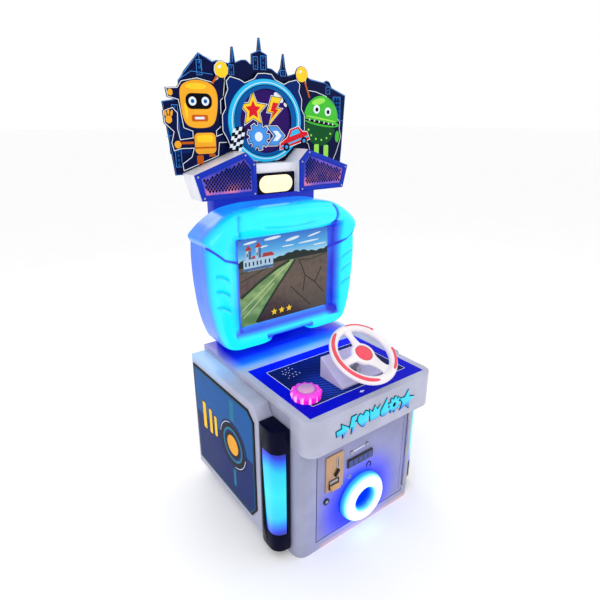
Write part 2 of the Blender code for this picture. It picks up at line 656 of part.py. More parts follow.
def front_lock():
    """Lock barrel through the door, and the plug with its cam."""
    out = Vector((0, -1, 0))
    barrel = [(0.0062, 0.0040), (0.0110, 0.0035), (0.0115, 0.0020), (0.0115, GAP), (0.0094, GAP),
              (0.0094, -0.0180), (0.0058, -0.0180), (0.0058, 0.0040)]
    turned("front_lock_barrel", barrel, LOCK, out, STEEL, steps=16, ring=True)
    plug = turned("front_lock_cam", [(0, 0.0036), (0.0053, 0.0036), (0.0053, -0.0215), (0, -0.0215)],
                  LOCK, out, STEEL, steps=16)
    tongue = stadium(-0.007, 0.048, -0.007, 0.007, 6)
    cam = slab("cam_tongue", [(LOCK.x + b, LOCK.z - a) for a, b in tongue], "front",
               BASE_FRONT + 0.0185, BASE_FRONT + 0.0210)
    add(plug, cam)


def coin_counter():
    """Narrow display strip on the door."""
    block("coin_counter", (-0.066, 0.043), (BASE_FRONT - 0.0060, BASE_FRONT - GAP), (0.266, 0.297), GLASS,
          bevel=0.0012, segments=1)


def prize_ring():
    """Lit ring round the prize outlet, flat against the door."""
    middle, half, height = 0.0620, 0.0265, 0.031
    crown = [(middle + half * math.cos(a), 0.004 + (height - 0.004) * math.sin(a))
             for a in (math.radians(180 - 22.5 * i) for i in range(9))]
    profile = [(0.0355, GAP)] + crown + [(0.0885, GAP)]
    turned("prize_ring", profile, RING_CENTRE, (0, -1, 0), MILK, steps=36, ring=True)


def prize_cup():
    """Cup behind the ring that the prize rolls into, with a feed opening on top."""
    profile = [(0, -0.0735), (0.0350, -0.0735), (0.0350, -0.0010), (0.0375, -0.0010), (0.0375, -0.0125),
               (0.0480, -0.0125), (0.0480, -0.0150), (0.0375, -0.0150), (0.0375, -0.0760), (0, -0.0760)]
    cup = turned("prize_cup", profile, RING_CENTRE, (0, -1, 0), BLUE, steps=32)
    feed = RING_CENTRE + Vector((0, 0.046, 0))
    cut(cup, rod("cut_feed", 0.0260, feed, feed + Vector((0, 0, 0.06)), steps=24))


# ---------------------------------------------------------------- inside the base
def inside_base():
    """Coin box, game board, power supply, fan housing and rotor."""
    floor = WALL + GAP
    coin_box = block("coin_box", (-0.175, -0.065), (-0.255, -0.125), (floor, 0.078), STEEL)
    cut(coin_box, cutter_box("cut_coin_box", (-0.1725, -0.0675), (-0.2525, -0.1275), (floor + 0.0025, 0.09)))
    block("game_board", (-0.180, -0.010), (0.020, 0.150), (floor, 0.058), CIRCUIT, bevel=0.002, segments=1)
    block("power_supply", (0.060, 0.170), (0.000, 0.130), (floor, 0.062), STEEL, bevel=0.002, segments=1)
    back = BASE_BACK - WALL - GAP
    x, z = FAN.x, FAN.z
    housing = slab("fan_housing", rectangle(x - 0.040, x + 0.040, z - 0.040, z + 0.040, 0.004), "front",
                   back - 0.025, back, BLACK)
    cut(housing, rod("cut_fan_bore", 0.0375, (x, back - 0.03, z), (x, back + 0.01, z), steps=32))
    bar = block("fan_bar", (x - 0.039, x + 0.039), (back - 0.0025, back - 0.0002),
                (z - 0.004, z + 0.004))
    add(housing, bar, rod("fan_motor", 0.0150, (x, back - 0.0030, z), (x, back - 0.0001, z)))
    rotor = rod("fan_rotor", 0.0145, (x, back - 0.0225, z), (x, back - 0.0040, z), BLACK, steps=20)
    for i in range(5):
        blade = block(f"fan_blade_{i}", (0.012, 0.0350), (-0.0008, 0.0008), (-0.0085, 0.0085))
        turn = Matrix.Rotation(math.radians(72 * i), 4, "Y")
        pitch = Matrix.Rotation(math.radians(50), 4, "X")
        blade.matrix_world = (Matrix.Translation((x, back - 0.0135, z)) @ turn
                              @ Matrix.Translation((0.0235, 0, 0)) @ pitch)
        add(rotor, blade)


def rear_door():
    """Service door in the back wall, lifted on two pins, with vents and a finger slot."""
    left, right, low, high = REAR_DOOR
    x, y = REAR_HINGE
    door = block("rear_door", (left, right), (BASE_BACK - DOOR_THICK, BASE_BACK), (low, high), PEARL)
    holes = [slab("cut_finger", stadium(0.020, 0.048, 0.270, 0.290, 5), "front", 0.27, 0.30)]
    for i in range(4):
        z = low + 0.060 + 0.018 * i
        holes.append(cutter_box(f"cut_vent_{i}", (-0.150, 0.010), (0.27, 0.30), (z - 0.003, z + 0.003)))
    cut(door, *holes)
    lugs = []
    for i, z in enumerate((0.1583, 0.4083)):
        lugs += [block(f"door_lug_{i}", (x + 0.0030, x + 0.016), (BASE_BACK - 0.001, y + 0.0020),
                       (z + 0.0002, z + 0.0178)),
                 sleeve(f"door_barrel_{i}", 0.004, 0.0025, (x, y, z), (x, y, z + 0.018))]
    add(door, *lugs)
    set_origin(door, (x, y, 0))


def power_inlet():
    """Mains inlet with a switch recess, and the rocker in it."""
    face = BASE_BACK + GAP
    inlet = block("power_inlet", (0.1040, 0.1660), (face, face + 0.0030), (0.0360, 0.0720), BLACK)
    add(inlet, block("inlet_body", (0.1104, 0.1596), (0.2600, face + 0.001), (0.0404, 0.0676)))
    cut(inlet, cutter_box("cut_socket", (0.1130, 0.1370), (0.2750, 0.30), (0.0460, 0.0620)))
    cut(inlet, cutter_box("cut_rocker", (0.1420, 0.1580), (0.2780, 0.30), (0.0430, 0.0650)))
    shape = [(-0.0100, -0.0030), (-0.0085, -0.0060), (0.0085, -0.0060), (0.0100, -0.0030),
             (0.0100, 0.0030), (0.0, 0.0012), (-0.0100, 0.0048)]
    rocker = slab("rocker_switch", [(b, a) for a, b in shape], "side", -0.0074, 0.0074, BLACK)
    rocker.location = ROCKER


# ---------------------------------------------------------------- head
def back_column():
    """Tall flat box behind the head that carries the monitor and the marquee."""
    low, high = DECK_TOP + GAP, MARQUEE_BOTTOM - GAP
    column = block("back_column", (-COLUMN_HALF, COLUMN_HALF), (COLUMN_FRONT, COLUMN_BACK), (low, high), BLUE)
    cut(column, cutter_box("cut_column_inside", (-COLUMN_HALF + 0.004, COLUMN_HALF - 0.004),
                           (COLUMN_FRONT + 0.004, COLUMN_BACK - 0.004), (low - 0.01, high + 0.01)))


def monitor():
    """Flat display with a hollow boss that screws to the column."""
    screen = block("monitor", (-0.200, 0.200), (SCREEN_Y, 0.1520), (0.622, 0.947), GLASS)
    add(screen, block("monitor_boss", (-0.060, 0.060), (0.1500, COLUMN_FRONT - GAP), (0.730, 0.840)))
    cut(screen, cutter_box("cut_boss", (-0.056, 0.056), (0.1560, COLUMN_FRONT - 0.004), (0.72, 0.836)))


def window_cutter(name):
    """Flared opening in front of the screen."""
    mesh = bmesh.new()
    bmesh.ops.create_cube(mesh, size=1.0)
    for vert in mesh.verts:
        front = vert.co.y < 0
        reach, rise = (0.2568, 0.037) if front else (SCREEN_HALF, 0.0)
        middle, half = (SCREEN_LOW + SCREEN_HIGH) / 2, (SCREEN_HIGH - SCREEN_LOW) / 2 + rise
        vert.co = (math.copysign(reach, vert.co.x), 0.085 if front else SCREEN_Y - 0.0004,
                   middle + math.copysign(half, vert.co.z))
    return from_bmesh(name, mesh, None, CUTTERS)


def head_shell(name, half, front, pockets):
    """Part of the moulded head: a soft-edged slab round the screen, hollow behind its front wall."""
    outline = mirrored(half)
    shell = slab(name, outline, "front", front, COLUMN_FRONT - GAP, CYAN)
    mesh = bmesh.new()
    mesh.from_mesh(shell.data)
    away = max(vert.co.z for vert in mesh.verts)
    rim = [edge for edge in mesh.edges if all(vert.co.z > away - 1e-5 for vert in edge.verts)]
    bmesh.ops.bevel(mesh, geom=rim, offset=0.022, segments=3, profile=0.5, affect="EDGES")
    mesh.to_mesh(shell.data)
    mesh.free()
    cut(shell, window_cutter(f"cut_window_{name}"))
    cut(shell, cutter_box(f"cut_monitor_{name}", (-0.2025, 0.2025), (SCREEN_Y - 0.0008, 0.26),
                          (0.619, 0.950)))
    cut(shell, slab(f"cut_inside_{name}", inset(outline, 0.006), "front", 0.142, 0.26))
    for i, (x, z) in enumerate(pockets):
        cut(shell, cutter_box(f"cut_pocket_{name}_{i}", x, (front + 0.010, 0.15), z))


def head():
    """Face round the screen and the hood over it."""
    face = [(0, 0.8577), (0.180, 0.8577), (0.250, 0.8867), (0.2985, 0.9285), (0.2990, 0.800),
            (0.2920, 0.720), (0.2770, 0.645), (0.2550, 0.590), (0.2290, 0.563), (0.0950, 0.563),
            (0.0780, 0.580), (0, 0.580)]
    cheeks = [((-0.284, -0.248), (0.615, 0.870)), ((0.248, 0.284), (0.615, 0.870))]
    head_shell("face_shell", face, 0.100, cheeks)
    hood = [(0, 1.036), (0.130, 1.034), (0.215, 1.018), (0.262, 0.990), (0.307, 0.950),
            (0.3000, 0.9305), (0.2500, 0.8873), (0.1800, 0.8583), (0, 0.8583)]
    head_shell("hood_shell", hood, 0.095, [((-0.190, 0.190), (0.968, 1.012))])


# ---------------------------------------------------------------- marquee
def box_outline():
    """Marquee box in front view: two speaker wings and a lower middle."""
    return mirrored([(0, 1.160), (0.080, 1.160), (0.124, 1.2015), (0.302, 1.141), (0.280, MARQUEE_BOTTOM),
                     (0, MARQUEE_BOTTOM)])


def marquee_box():
    """Speaker box with a set-back middle, resting on the column by a foot behind it."""
    box = slab("marquee_box", box_outline(), "front", MARQUEE_FRONT, MARQUEE_BACK, WHITE)
    add(box, block("marquee_foot", (-0.120, 0.120), (MARQUEE_BACK - 0.002, 0.286), (MARQUEE_BOTTOM, 1.130)))
    cut(box, cutter_box("cut_middle", (-0.0860, 0.0860), (0.160, 0.1900), (1.05, 1.21)))
    cut(box, slab("cut_box_inside", inset(box_outline(), 0.008), "front", 0.198, MARQUEE_BACK - 0.008))
    for side, sign in (("left", -1), ("right", 1)):
        wing = inset(frame_outline(sign), 0.008)
        cut(box, slab(f"cut_wing_{side}", wing, "front", MARQUEE_FRONT + 0.008, 0.20))
        cut(box, rod(f"cut_speaker_{side}", 0.0300, (sign * 0.185, 0.160, 1.115),
                     (sign * 0.185, 0.19, 1.115)))
    cut(box, cutter_box("cut_lamp", (-0.055, 0.055), (0.17, 0.21), (1.080, 1.110)))


def frame_outline(sign):
    """Speaker frame in front view."""
    half = [(0.087, 1.063), (0.280, 1.063), (0.301, 1.141), (0.124, 1.201), (0.087, 1.166)]
    return [(sign * x, z) for x, z in half]


def speaker(side, sign):
    """Frame, grille and driver of one wing."""
    face = MARQUEE_FRONT - GAP
    outline = frame_outline(sign)
    frame = slab(f"speaker_frame_{side}", outline, "front", face - 0.008, face, BLUE)
    cut(frame, slab(f"cut_frame_{side}", inset(outline, 0.0165), "front", face - 0.02, face + 0.01))
    slab(f"speaker_grille_{side}", inset(outline, 0.0169), "front", face - 0.0045, face - 0.0025, PURPLE)
    cone = [(0, -0.0120), (0.0100, -0.0120), (0.0260, 0.0), (0.0345, 0.0), (0.0345, -0.0030),
            (0.0290, -0.0030), (0.0180, -0.0200), (0.0180, -0.0320), (0, -0.0320)]
    turned(f"speaker_driver_{side}", cone, (sign * 0.185, MARQUEE_FRONT + 0.0083, 1.115), (0, -1, 0),
           BLACK, steps=20)


def marquee_lamp():
    """Dark bezel with a milky slot-shaped lens."""
    outline = rectangle(-0.076, 0.076, 1.0625, 1.1310, 0.003)
    bezel = slab("marquee_lamp", outline, "front", 0.1827, 0.1897, NAVY)
    cut(bezel, slab("cut_bezel", stadium(-0.0665, 0.0665, 1.0665, 1.1225), "front", 0.17, 0.20))
    slab("marquee_lens", stadium(-0.0662, 0.0662, 1.0668, 1.1222), "front", 0.1810, 0.1890, WARM)


def skyline_board():
    """Printed board cut to a row of roofs and towers."""
    outline = [(-0.324, 1.136), (-0.347, 1.347), (-0.296, 1.355), (-0.291, 1.405), (-0.280, 1.417),
               (-0.270, 1.432), (-0.223, 1.481), (-0.178, 1.459), (-0.165, 1.464), (-0.125, 1.458),
               (-0.117, 1.462), (-0.112, 1.504), (-0.106, 1.504), (-0.100, 1.462), (-0.078, 1.470),
               (-0.062, 1.471), (-0.046, 1.460), (-0.042, 1.462), (-0.041, 1.490), (-0.020, 1.498),
               (-0.014, 1.536), (-0.009, 1.536), (-0.004, 1.498), (0.017, 1.490), (0.018, 1.452),
               (0.034, 1.450), (0.058, 1.436), (0.070, 1.455), (0.078, 1.496), (0.083, 1.496),
               (0.089, 1.455), (0.098, 1.432), (0.128, 1.440), (0.150, 1.450), (0.180, 1.432),
               (0.190, 1.427), (0.252, 1.417), (0.266, 1.424), (0.279, 1.420), (0.290, 1.401),
               (0.355, 1.378), (0.343, 1.193), (0.338, 1.136)]
    slab("skyline_board", outline, "front", 0.2485, 0.2535, NAVY)


def roundel_board():
    """Scalloped backing with a raised ring and a sunk disc, above the lamp."""
    half = [(0, 1.438), (0.028, 1.436), (0.042, 1.420), (0.075, 1.408), (0.092, 1.416), (0.128, 1.424),
            (0.144, 1.408), (0.140, 1.384), (0.152, 1.360), (0.150, 1.330), (0.163, 1.310), (0.164, 1.262),
            (0.150, 1.240), (0.140, 1.216), (0.106, 1.204), (0.078, 1.176), (0.045, 1.1625), (0, 1.1610)]
    board = slab("roundel_board", mirrored(half), "front", 0.2380, 0.2434, PURPLE)
    ring = [(0.1200, 0.0060), (0.1275, 0.0045), (0.1280, -0.0010), (0.1000, -0.0010), (0.1005, 0.0045),
            (0.1060, 0.0060)]
    add(board, turned("roundel_ring", ring, (0, 0.2380, 1.290), (0, -1, 0), steps=40, ring=True))


def figure_boards():
    """Two cut-out robots that stand beside the roundel."""
    left = [(-0.300, 1.146), (-0.303, 1.170), (-0.270, 1.190), (-0.262, 1.212), (-0.300, 1.212),
            (-0.326, 1.206), (-0.332, 1.232), (-0.322, 1.262), (-0.348, 1.286), (-0.350, 1.322),
            (-0.318, 1.332), (-0.302, 1.316), (-0.306, 1.270), (-0.300, 1.242), (-0.262, 1.246),
            (-0.262, 1.262), (-0.290, 1.272), (-0.300, 1.350), (-0.332, 1.358), (-0.336, 1.384),
            (-0.300, 1.386), (-0.286, 1.404), (-0.235, 1.414), (-0.186, 1.404), (-0.168, 1.414)]
    left += arc((-0.153, 1.438), 0.026, 225, -60, 8)
    left += [(-0.142, 1.400), (-0.148, 1.360), (-0.158, 1.350), (-0.160, 1.276), (-0.178, 1.262),
             (-0.178, 1.250), (-0.140, 1.262), (-0.122, 1.244), (-0.130, 1.226), (-0.170, 1.226),
             (-0.176, 1.187)]
    slab("figure_left", left, "front", 0.2437, 0.2482, ORANGE)
    right = [(0.190, 1.182), (0.180, 1.212), (0.166, 1.222), (0.160, 1.250), (0.148, 1.320), (0.132, 1.346)]
    right += arc((0.152, 1.438), 0.026, 240, -45, 8)
    right += [(0.176, 1.392), (0.215, 1.388), (0.262, 1.374), (0.300, 1.344), (0.318, 1.300),
              (0.330, 1.286), (0.328, 1.262), (0.336, 1.236), (0.326, 1.206), (0.316, 1.180),
              (0.300, 1.150), (0.286, 1.148)]
    slab("figure_right", right, "front", 0.2437, 0.2482, GREEN)


# ---------------------------------------------------------------- assembly
def build():
    clear_scene()
    base_cabinet()
    for side, sign in (("left", -1), ("right", 1)):
        side_pod(side, sign)
        side_graphic(side, sign)
        lamp_housing(side, sign)
        lamp_lens(side, sign)
        speaker(side, sign)
    console_tray()
    control_panel()
    wheel_bracket()
    steering_bearing()
    steering_shaft()
    steering_wheel()
    wheel_grip("wheel_grip_left", 119, 260, RIM_RADIUS, 0.010)
    wheel_grip("wheel_grip_right", -60, -14, RIM_RADIUS, 0.010)
    hub_cap()
    gears()
    sensor_body()
    start_button()
    button_spring()
    front_door()
    front_hinge()
    coin_acceptor()
    coin_small_parts()
    front_lock()
    coin_counter()
    prize_ring()
    prize_cup()
    inside_base()
    rear_door()
    power_inlet()
    back_column()
    monitor()
    head()
    marquee_box()
    marquee_lamp()
    skyline_board()
    roundel_board()
    figure_boards()


build()
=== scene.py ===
"""Looks of the children's racing cabinet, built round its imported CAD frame. Metres, +Z up."""
import json
import math

import bmesh
import bpy
from mathutils import Matrix, Vector

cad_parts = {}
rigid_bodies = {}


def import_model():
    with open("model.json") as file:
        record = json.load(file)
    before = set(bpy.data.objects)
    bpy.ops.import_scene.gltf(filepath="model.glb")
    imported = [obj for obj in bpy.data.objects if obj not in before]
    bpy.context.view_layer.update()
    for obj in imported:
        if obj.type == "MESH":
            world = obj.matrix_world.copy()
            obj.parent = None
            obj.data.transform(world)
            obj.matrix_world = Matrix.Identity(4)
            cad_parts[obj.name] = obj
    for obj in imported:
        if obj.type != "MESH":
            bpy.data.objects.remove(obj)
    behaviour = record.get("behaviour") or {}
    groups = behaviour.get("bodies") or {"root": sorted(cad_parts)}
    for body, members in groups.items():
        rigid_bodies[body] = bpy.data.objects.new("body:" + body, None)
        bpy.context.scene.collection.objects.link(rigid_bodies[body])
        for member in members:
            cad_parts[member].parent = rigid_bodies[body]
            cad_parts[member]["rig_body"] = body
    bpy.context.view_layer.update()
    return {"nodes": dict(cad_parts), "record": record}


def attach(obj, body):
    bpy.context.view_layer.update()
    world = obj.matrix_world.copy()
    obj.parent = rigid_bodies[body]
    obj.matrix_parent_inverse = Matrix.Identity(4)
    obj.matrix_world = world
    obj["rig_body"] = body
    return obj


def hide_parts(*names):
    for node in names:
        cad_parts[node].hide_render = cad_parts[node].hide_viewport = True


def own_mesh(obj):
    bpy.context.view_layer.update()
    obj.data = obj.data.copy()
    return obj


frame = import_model()
SLOT_OF = {part["node"]: part["material_slot"] for part in frame["record"]["subparts"]}

# ---------------------------------------------------------------- places taken from the CAD
RING = Vector((0.0, -0.288, 0.126))                 # middle of the lit ring, on the door
BUTTON = Vector((-0.172, -0.214, 0.0))
WHEEL = Vector((0.022, -0.248, 0.627))              # middle of the steering wheel's rim
TILT = math.radians(30)
RIM_RADIUS, RIM_SECTION, RIM_FLATNESS = 0.0985, 0.0138, 0.93
SPOKES = ((90, 0.0135), (186, 0.0135), (296, 0.02))
ROUNDEL = (0.0, 1.29)
RING_STRETCH = 1.1                                 # the marquee's ring is wider than it is tall
PANEL_TOP = 0.5297
APRON_FACE = -0.338
GRAPHIC_FACE = 0.3113
DOOR_FACE = -0.288
SCREEN_FACE = 0.1325
SCREEN_LEFT, SCREEN_RIGHT, SCREEN_LOW, SCREEN_HIGH = -0.1868, 0.1868, 0.6342, 0.9348
HORIZON = 0.852                                     # height of the screen picture's horizon
SKYLINE_FACE, FIGURE_FACE, ROUNDEL_FACE, RING_FACE = 0.2485, 0.2437, 0.238, 0.232
ROBOT_AXIS = (0.238, 1.288)                         # middle of the green robot's brim


# ---------------------------------------------------------------- materials
def rgb(red, green, blue):
    """Linear colour from display values of 0 to 255."""
    def linear(value):
        value /= 255
        return value / 12.92 if value <= 0.04045 else ((value + 0.055) / 1.055) ** 2.4
    return (linear(red), linear(green), linear(blue), 1.0)


BLACK = rgb(0, 0, 0)


class Shader:
    """Principled material put together node by node, in the cabinet's own coordinates."""

    def __init__(self, name):
        self.material = bpy.data.materials.new(name)
        self.material.use_nodes = True
        self.tree = self.material.node_tree
        self.surface = self.tree.nodes["Principled BSDF"]
        self.place = self.add("ShaderNodeTexCoord").outputs["Object"]
        self.axes = self.add("ShaderNodeSeparateXYZ")
        self.feed(self.axes.inputs[0], self.place)

    def add(self, kind, **settings):
        """New node with its settings."""
        node = self.tree.nodes.new(kind)
        for key, value in settings.items():
            setattr(node, key, value)
        return node

    def feed(self, socket, value):
        """Link a node's output to a socket, or set the socket to a constant."""
        if isinstance(value, bpy.types.NodeSocket):
            self.tree.links.new(value, socket)
        else:
            socket.default_value = value

    def set(self, **inputs):
        """Inputs of the surface, by name with underscores for spaces."""
        for name, value in inputs.items():
            self.feed(self.surface.inputs[name.replace("_", " ")], value)
        return self

    def axis(self, letter):
        """Place along the cabinet's X, Y or Z."""
        return self.axes.outputs["XYZ".index(letter)]

    def math(self, operation, *values):
        """One step of arithmetic on outputs and numbers."""
        node = self.add("ShaderNodeMath", operation=operation)
        for socket, value in zip(node.inputs, values):
            self.feed(socket, value)
        return node.outputs[0]

    def times(self, first, *others):
        """Product of the values."""
        for value in others:
            first = self.math("MULTIPLY", first, value)
        return first

    def plus(self, a, b):
        """Sum of two values."""
        return self.math("ADD", a, b)

    def off(self, letter, middle=0.0):
        """Distance from the plane across an axis at middle."""
        return self.math("ABSOLUTE", self.math("SUBTRACT", self.axis(letter), middle))

    def span(self, value, low, high, smooth=True):
        """0 at low and 1 at high, held outside them."""
        kind = "SMOOTHSTEP" if smooth else "LINEAR"
        node = self.add("ShaderNodeMapRange", interpolation_type=kind)
        for socket, number in zip(node.inputs, (value, low, high, 0.0, 1.0)):
            self.feed(socket, number)
        return node.outputs[0]

    def along(self, letter, low, high, smooth=True):
        """0 at low and 1 at high along the cabinet's X, Y or Z."""
        return self.span(self.axis(letter), low, high, smooth)

    def mix(self, factor, a, b):
        """Colour a where the factor is 0 and colour b where it is 1."""
        node = self.add("ShaderNodeMix", data_type="RGBA")
        for index, value in ((0, factor), (6, a), (7, b)):
            self.feed(node.inputs[index], value)
        return node.outputs[2]

    def ramp(self, value, *stops):
        """Colours along a value from 0 to 1, each stop a place and a display colour."""
        node = self.add("ShaderNodeValToRGB")
        bar = node.color_ramp
        while len(bar.elements) < len(stops):
            bar.elements.new(1.0)
        for element, (at, *colour) in zip(bar.elements, stops):
            element.position, element.color = at, rgb(*colour)
        self.feed(node.inputs[0], value)
        return node.outputs[0]

    def noise(self, scale, detail=2.0, stretch=(1, 1, 1)):
        """Noise whose features are about 1/scale metres wide, narrower along a stretched axis."""
        mapping = self.add("ShaderNodeMapping")
        self.feed(mapping.inputs["Vector"], self.place)
        mapping.inputs["Scale"].default_value = stretch
        node = self.add("ShaderNodeTexNoise")
        node.inputs["Scale"].default_value = scale
        node.inputs["Detail"].default_value = detail
        self.feed(node.inputs["Vector"], mapping.outputs[0])
        return node.outputs[0]

    def away(self, centre, mask=(1, 1, 1)):
        """Distance from a point, counted only along the axes in the mask."""
        offset = self.add("ShaderNodeVectorMath", operation="SUBTRACT")
        self.feed(offset.inputs[0], self.place)
        offset.inputs[1].default_value = centre
        kept = self.add("ShaderNodeVectorMath", operation="MULTIPLY")
        self.feed(kept.inputs[0], offset.outputs[0])
        kept.inputs[1].default_value = mask
        length = self.add("ShaderNodeVectorMath", operation="LENGTH")
        self.feed(length.inputs[0], kept.outputs[0])
        return length.outputs["Value"]

    def lights(self, body, colour, strength, rough=0.2, **more):
        """Glow in a colour, over the body colour that shows where the glow is weak."""
        return self.set(Base_Color=body, Emission_Color=colour, Emission_Strength=strength, Roughness=rough,
                        **more)

    def bump(self, height, depth):
        """Relief of a height from 0 to 1 over a depth in metres."""
        node = self.add("ShaderNodeBump")
        node.inputs["Distance"].default_value = depth
        self.feed(node.inputs["Height"], height)
        self.feed(self.surface.inputs["Normal"], node.outputs[0])
        return self


def dim(colour, share):
    """Colour scaled towards black."""
    return tuple(channel * share for channel in colour[:3]) + (1.0,)


def finish(name, colour, rough=0.4, metal=0.0, coat=0.0, grain=900, relief=0.00005, mottle=0.06,
           stretch=(1, 1, 1), shine=0.5):
    """Moulded, painted or metal surface: soft mottling, uneven gloss and a fine grain."""
    shader = Shader(name)
    broad = shader.noise(14, 3)
    fine = shader.noise(grain, 2, stretch)
    dark = dim(colour, 1 - 2.2 * mottle)
    tone = shader.mix(shader.span(broad, 0.3, 0.7), dark, colour)
    shader.tone = shader.mix(shader.times(fine, 0.2), tone, dark)
    gloss = shader.plus(shader.times(broad, 0.12), rough - 0.06)
    shader.set(Base_Color=shader.tone, Roughness=gloss, Metallic=metal, Coat_Weight=coat,
               Coat_Roughness=0.08, Specular_IOR_Level=shine)
    return shader.bump(fine, relief)


def lit(name, colour, strength=1.0, rough=0.3, grain=500):
    """Surface lit from within, a little uneven like a real diffuser."""
    shader = Shader(name)
    level = shader.times(shader.plus(shader.times(shader.noise(26, 2), 0.24), 0.88), strength)
    shader.lights(dim(colour, max(0.05, 0.9 - strength)), colour, level, rough, Coat_Weight=0.08,
                  Coat_Roughness=0.1, Specular_IOR_Level=0.2)
    return shader.bump(shader.noise(grain, 2), 0.00004)


def glowing(shader, colour, amount):
    """Coloured light lying on a surface, by an amount that changes over it."""
    return shader.set(Base_Color=shader.mix(amount, shader.tone, shader.mix(0.72, colour, BLACK)),
                      Emission_Color=colour, Emission_Strength=shader.times(amount, 0.8))


def make_tray():
    """Pearl deck and apron, with the head's blue light lying on the deck behind the panel."""
    shader = finish("tray_pearl", rgb(178, 180, 202), 0.34, coat=0.2, shine=0.4)
    back = shader.along("Y", 0.015, 0.075)
    deck = shader.along("Z", 0.505, 0.529)
    middle = shader.span(shader.off("X"), 0.262, 0.215)
    colour = shader.ramp(shader.along("Y", 0.02, 0.16, False), (0, 70, 176, 250),
                         (0.4, 20, 96, 250), (0.75, 0, 16, 225), (1, 0, 0, 190))
    return glowing(shader, colour, shader.times(back, deck, shader.plus(shader.times(middle, 0.6), 0.4)))


def make_door():
    """Pearl door, with the ring's blue light fading over it."""
    shader = finish("door_pearl", rgb(144, 146, 182), 0.36, coat=0.15, shine=0.4)
    away = shader.away((RING.x - 0.012, RING.y, RING.z - 0.01), (1, 0, 1))
    colour = shader.ramp(shader.span(away, 0.085, 0.19, False), (0, 0, 30, 255), (1, 30, 26, 215))
    return glowing(shader, colour, shader.span(away, 0.212, 0.078))


def make_base():
    """Pearl carcass, with painted blue shade under the apron and warm along the sill."""
    shader = finish("base_pearl", rgb(156, 159, 186), 0.38, coat=0.12, shine=0.4)
    facing = shader.along("Y", -0.27, -0.284)
    under = shader.along("Z", 0.385, 0.425)
    low = shader.along("Z", 0.016, 0.01)
    right = shader.along("X", -0.19, -0.15)
    # Painted shade: dark navy on the front faces just under the apron's overhang.
    shaded = shader.mix(shader.times(under, facing), shader.tone, rgb(12, 20, 120))
    return shader.set(Base_Color=shader.mix(shader.times(low, facing, right), shaded, rgb(205, 172, 160)))


def make_pod():
    """Pearl side pod, its rear top edge catching the head's light."""
    shader = finish("pod_pearl", rgb(168, 171, 196), 0.38, coat=0.12, shine=0.4)
    top = shader.along("Z", 0.47, 0.512)
    back = shader.along("Y", -0.02, 0.14)
    return glowing(shader, rgb(150, 205, 255), shader.times(top, back, 0.7))


def make_head():
    """Translucent cyan moulding lit from inside, with painted shade in deeper blue in its grooves and at its
    edges.
    """
    shader = Shader("head_cyan")
    # The shade attribute carries painted shade, set point by point in shell().
    shade = shader.add("ShaderNodeAttribute", attribute_name="shade").outputs["Fac"]
    cloud = shader.times(shader.math("SUBTRACT", shader.noise(9, 2), 0.5), 0.3)
    colour = shader.ramp(shader.plus(shade, cloud), (0.0, 20, 244, 255), (0.16, 0, 228, 255),
                         (0.38, 0, 176, 255), (0.62, 40, 112, 250), (1.0, 16, 24, 205))
    shader.lights(shader.mix(0.9, colour, BLACK), colour, 0.94, 0.26, Coat_Weight=0.25,
                  Coat_Roughness=0.08, Specular_IOR_Level=0.3)
    return shader.bump(shader.noise(240, 2), 0.00006)


def make_lens():
    """Lamp lens: bright cyan in the middle, deep blue bands curving across its ends."""
    shader = Shader("lamp_cyan")
    bow = shader.times(shader.off("Y", -0.215), 0.4)
    reach = shader.math("DIVIDE", shader.plus(shader.off("Z", 0.245), bow), 0.168)
    colour = shader.ramp(reach, (0.0, 30, 240, 255), (0.56, 0, 214, 255), (0.76, 0, 128, 255),
                         (0.88, 0, 44, 225), (1.0, 2, 8, 96))
    shader.lights(rgb(0, 12, 60), colour, 1.0, 0.18, Coat_Weight=0.4, Coat_Roughness=0.05,
                  Specular_IOR_Level=0.3)
    return shader.bump(shader.noise(700, 1, (1, 1, 0.1)), 0.00003)


def make_ring():
    """Milky ring: blue at the hole, white over the crown and cyan at the rim."""
    shader = Shader("ring_milk")
    out = shader.span(shader.away(RING, (1, 0, 1)), 0.0355, 0.089, False)
    colour = shader.ramp(out, (0.0, 10, 70, 255), (0.13, 60, 205, 255), (0.27, 240, 255, 255),
                         (0.78, 255, 255, 255), (0.93, 90, 225, 255), (1.0, 0, 110, 255))
    shader.lights(shader.mix(0.7, colour, BLACK), colour, 0.98, 0.3, Coat_Weight=0.2, Coat_Roughness=0.1)
    return shader.bump(shader.noise(400, 2), 0.00005)


def make_button():
    """Magenta button moulding with bright pink sparks between its scallops."""
    shader = Shader("button_magenta")
    across = shader.math("SUBTRACT", shader.axis("X"), BUTTON.x)
    along = shader.math("SUBTRACT", shader.axis("Y"), BUTTON.y)
    angle = shader.times(shader.math("ARCTAN2", along, across), 12.0)
    spark = shader.span(shader.math("SINE", angle), 0.1, 0.95)
    low = shader.along("Z", 0.553, 0.542)
    middle = shader.span(shader.away(BUTTON, (1, 1, 0)), 0.04, 0.028)
    colour = shader.mix(shader.times(spark, low, 0.85),
                        shader.mix(middle, rgb(228, 18, 202), rgb(184, 60, 186)), rgb(255, 196, 250))
    shader.lights(shader.mix(0.6, colour, BLACK), colour, 0.9, Coat_Weight=0.5, Coat_Roughness=0.05)
    return shader.bump(shader.noise(600, 1), 0.00004)


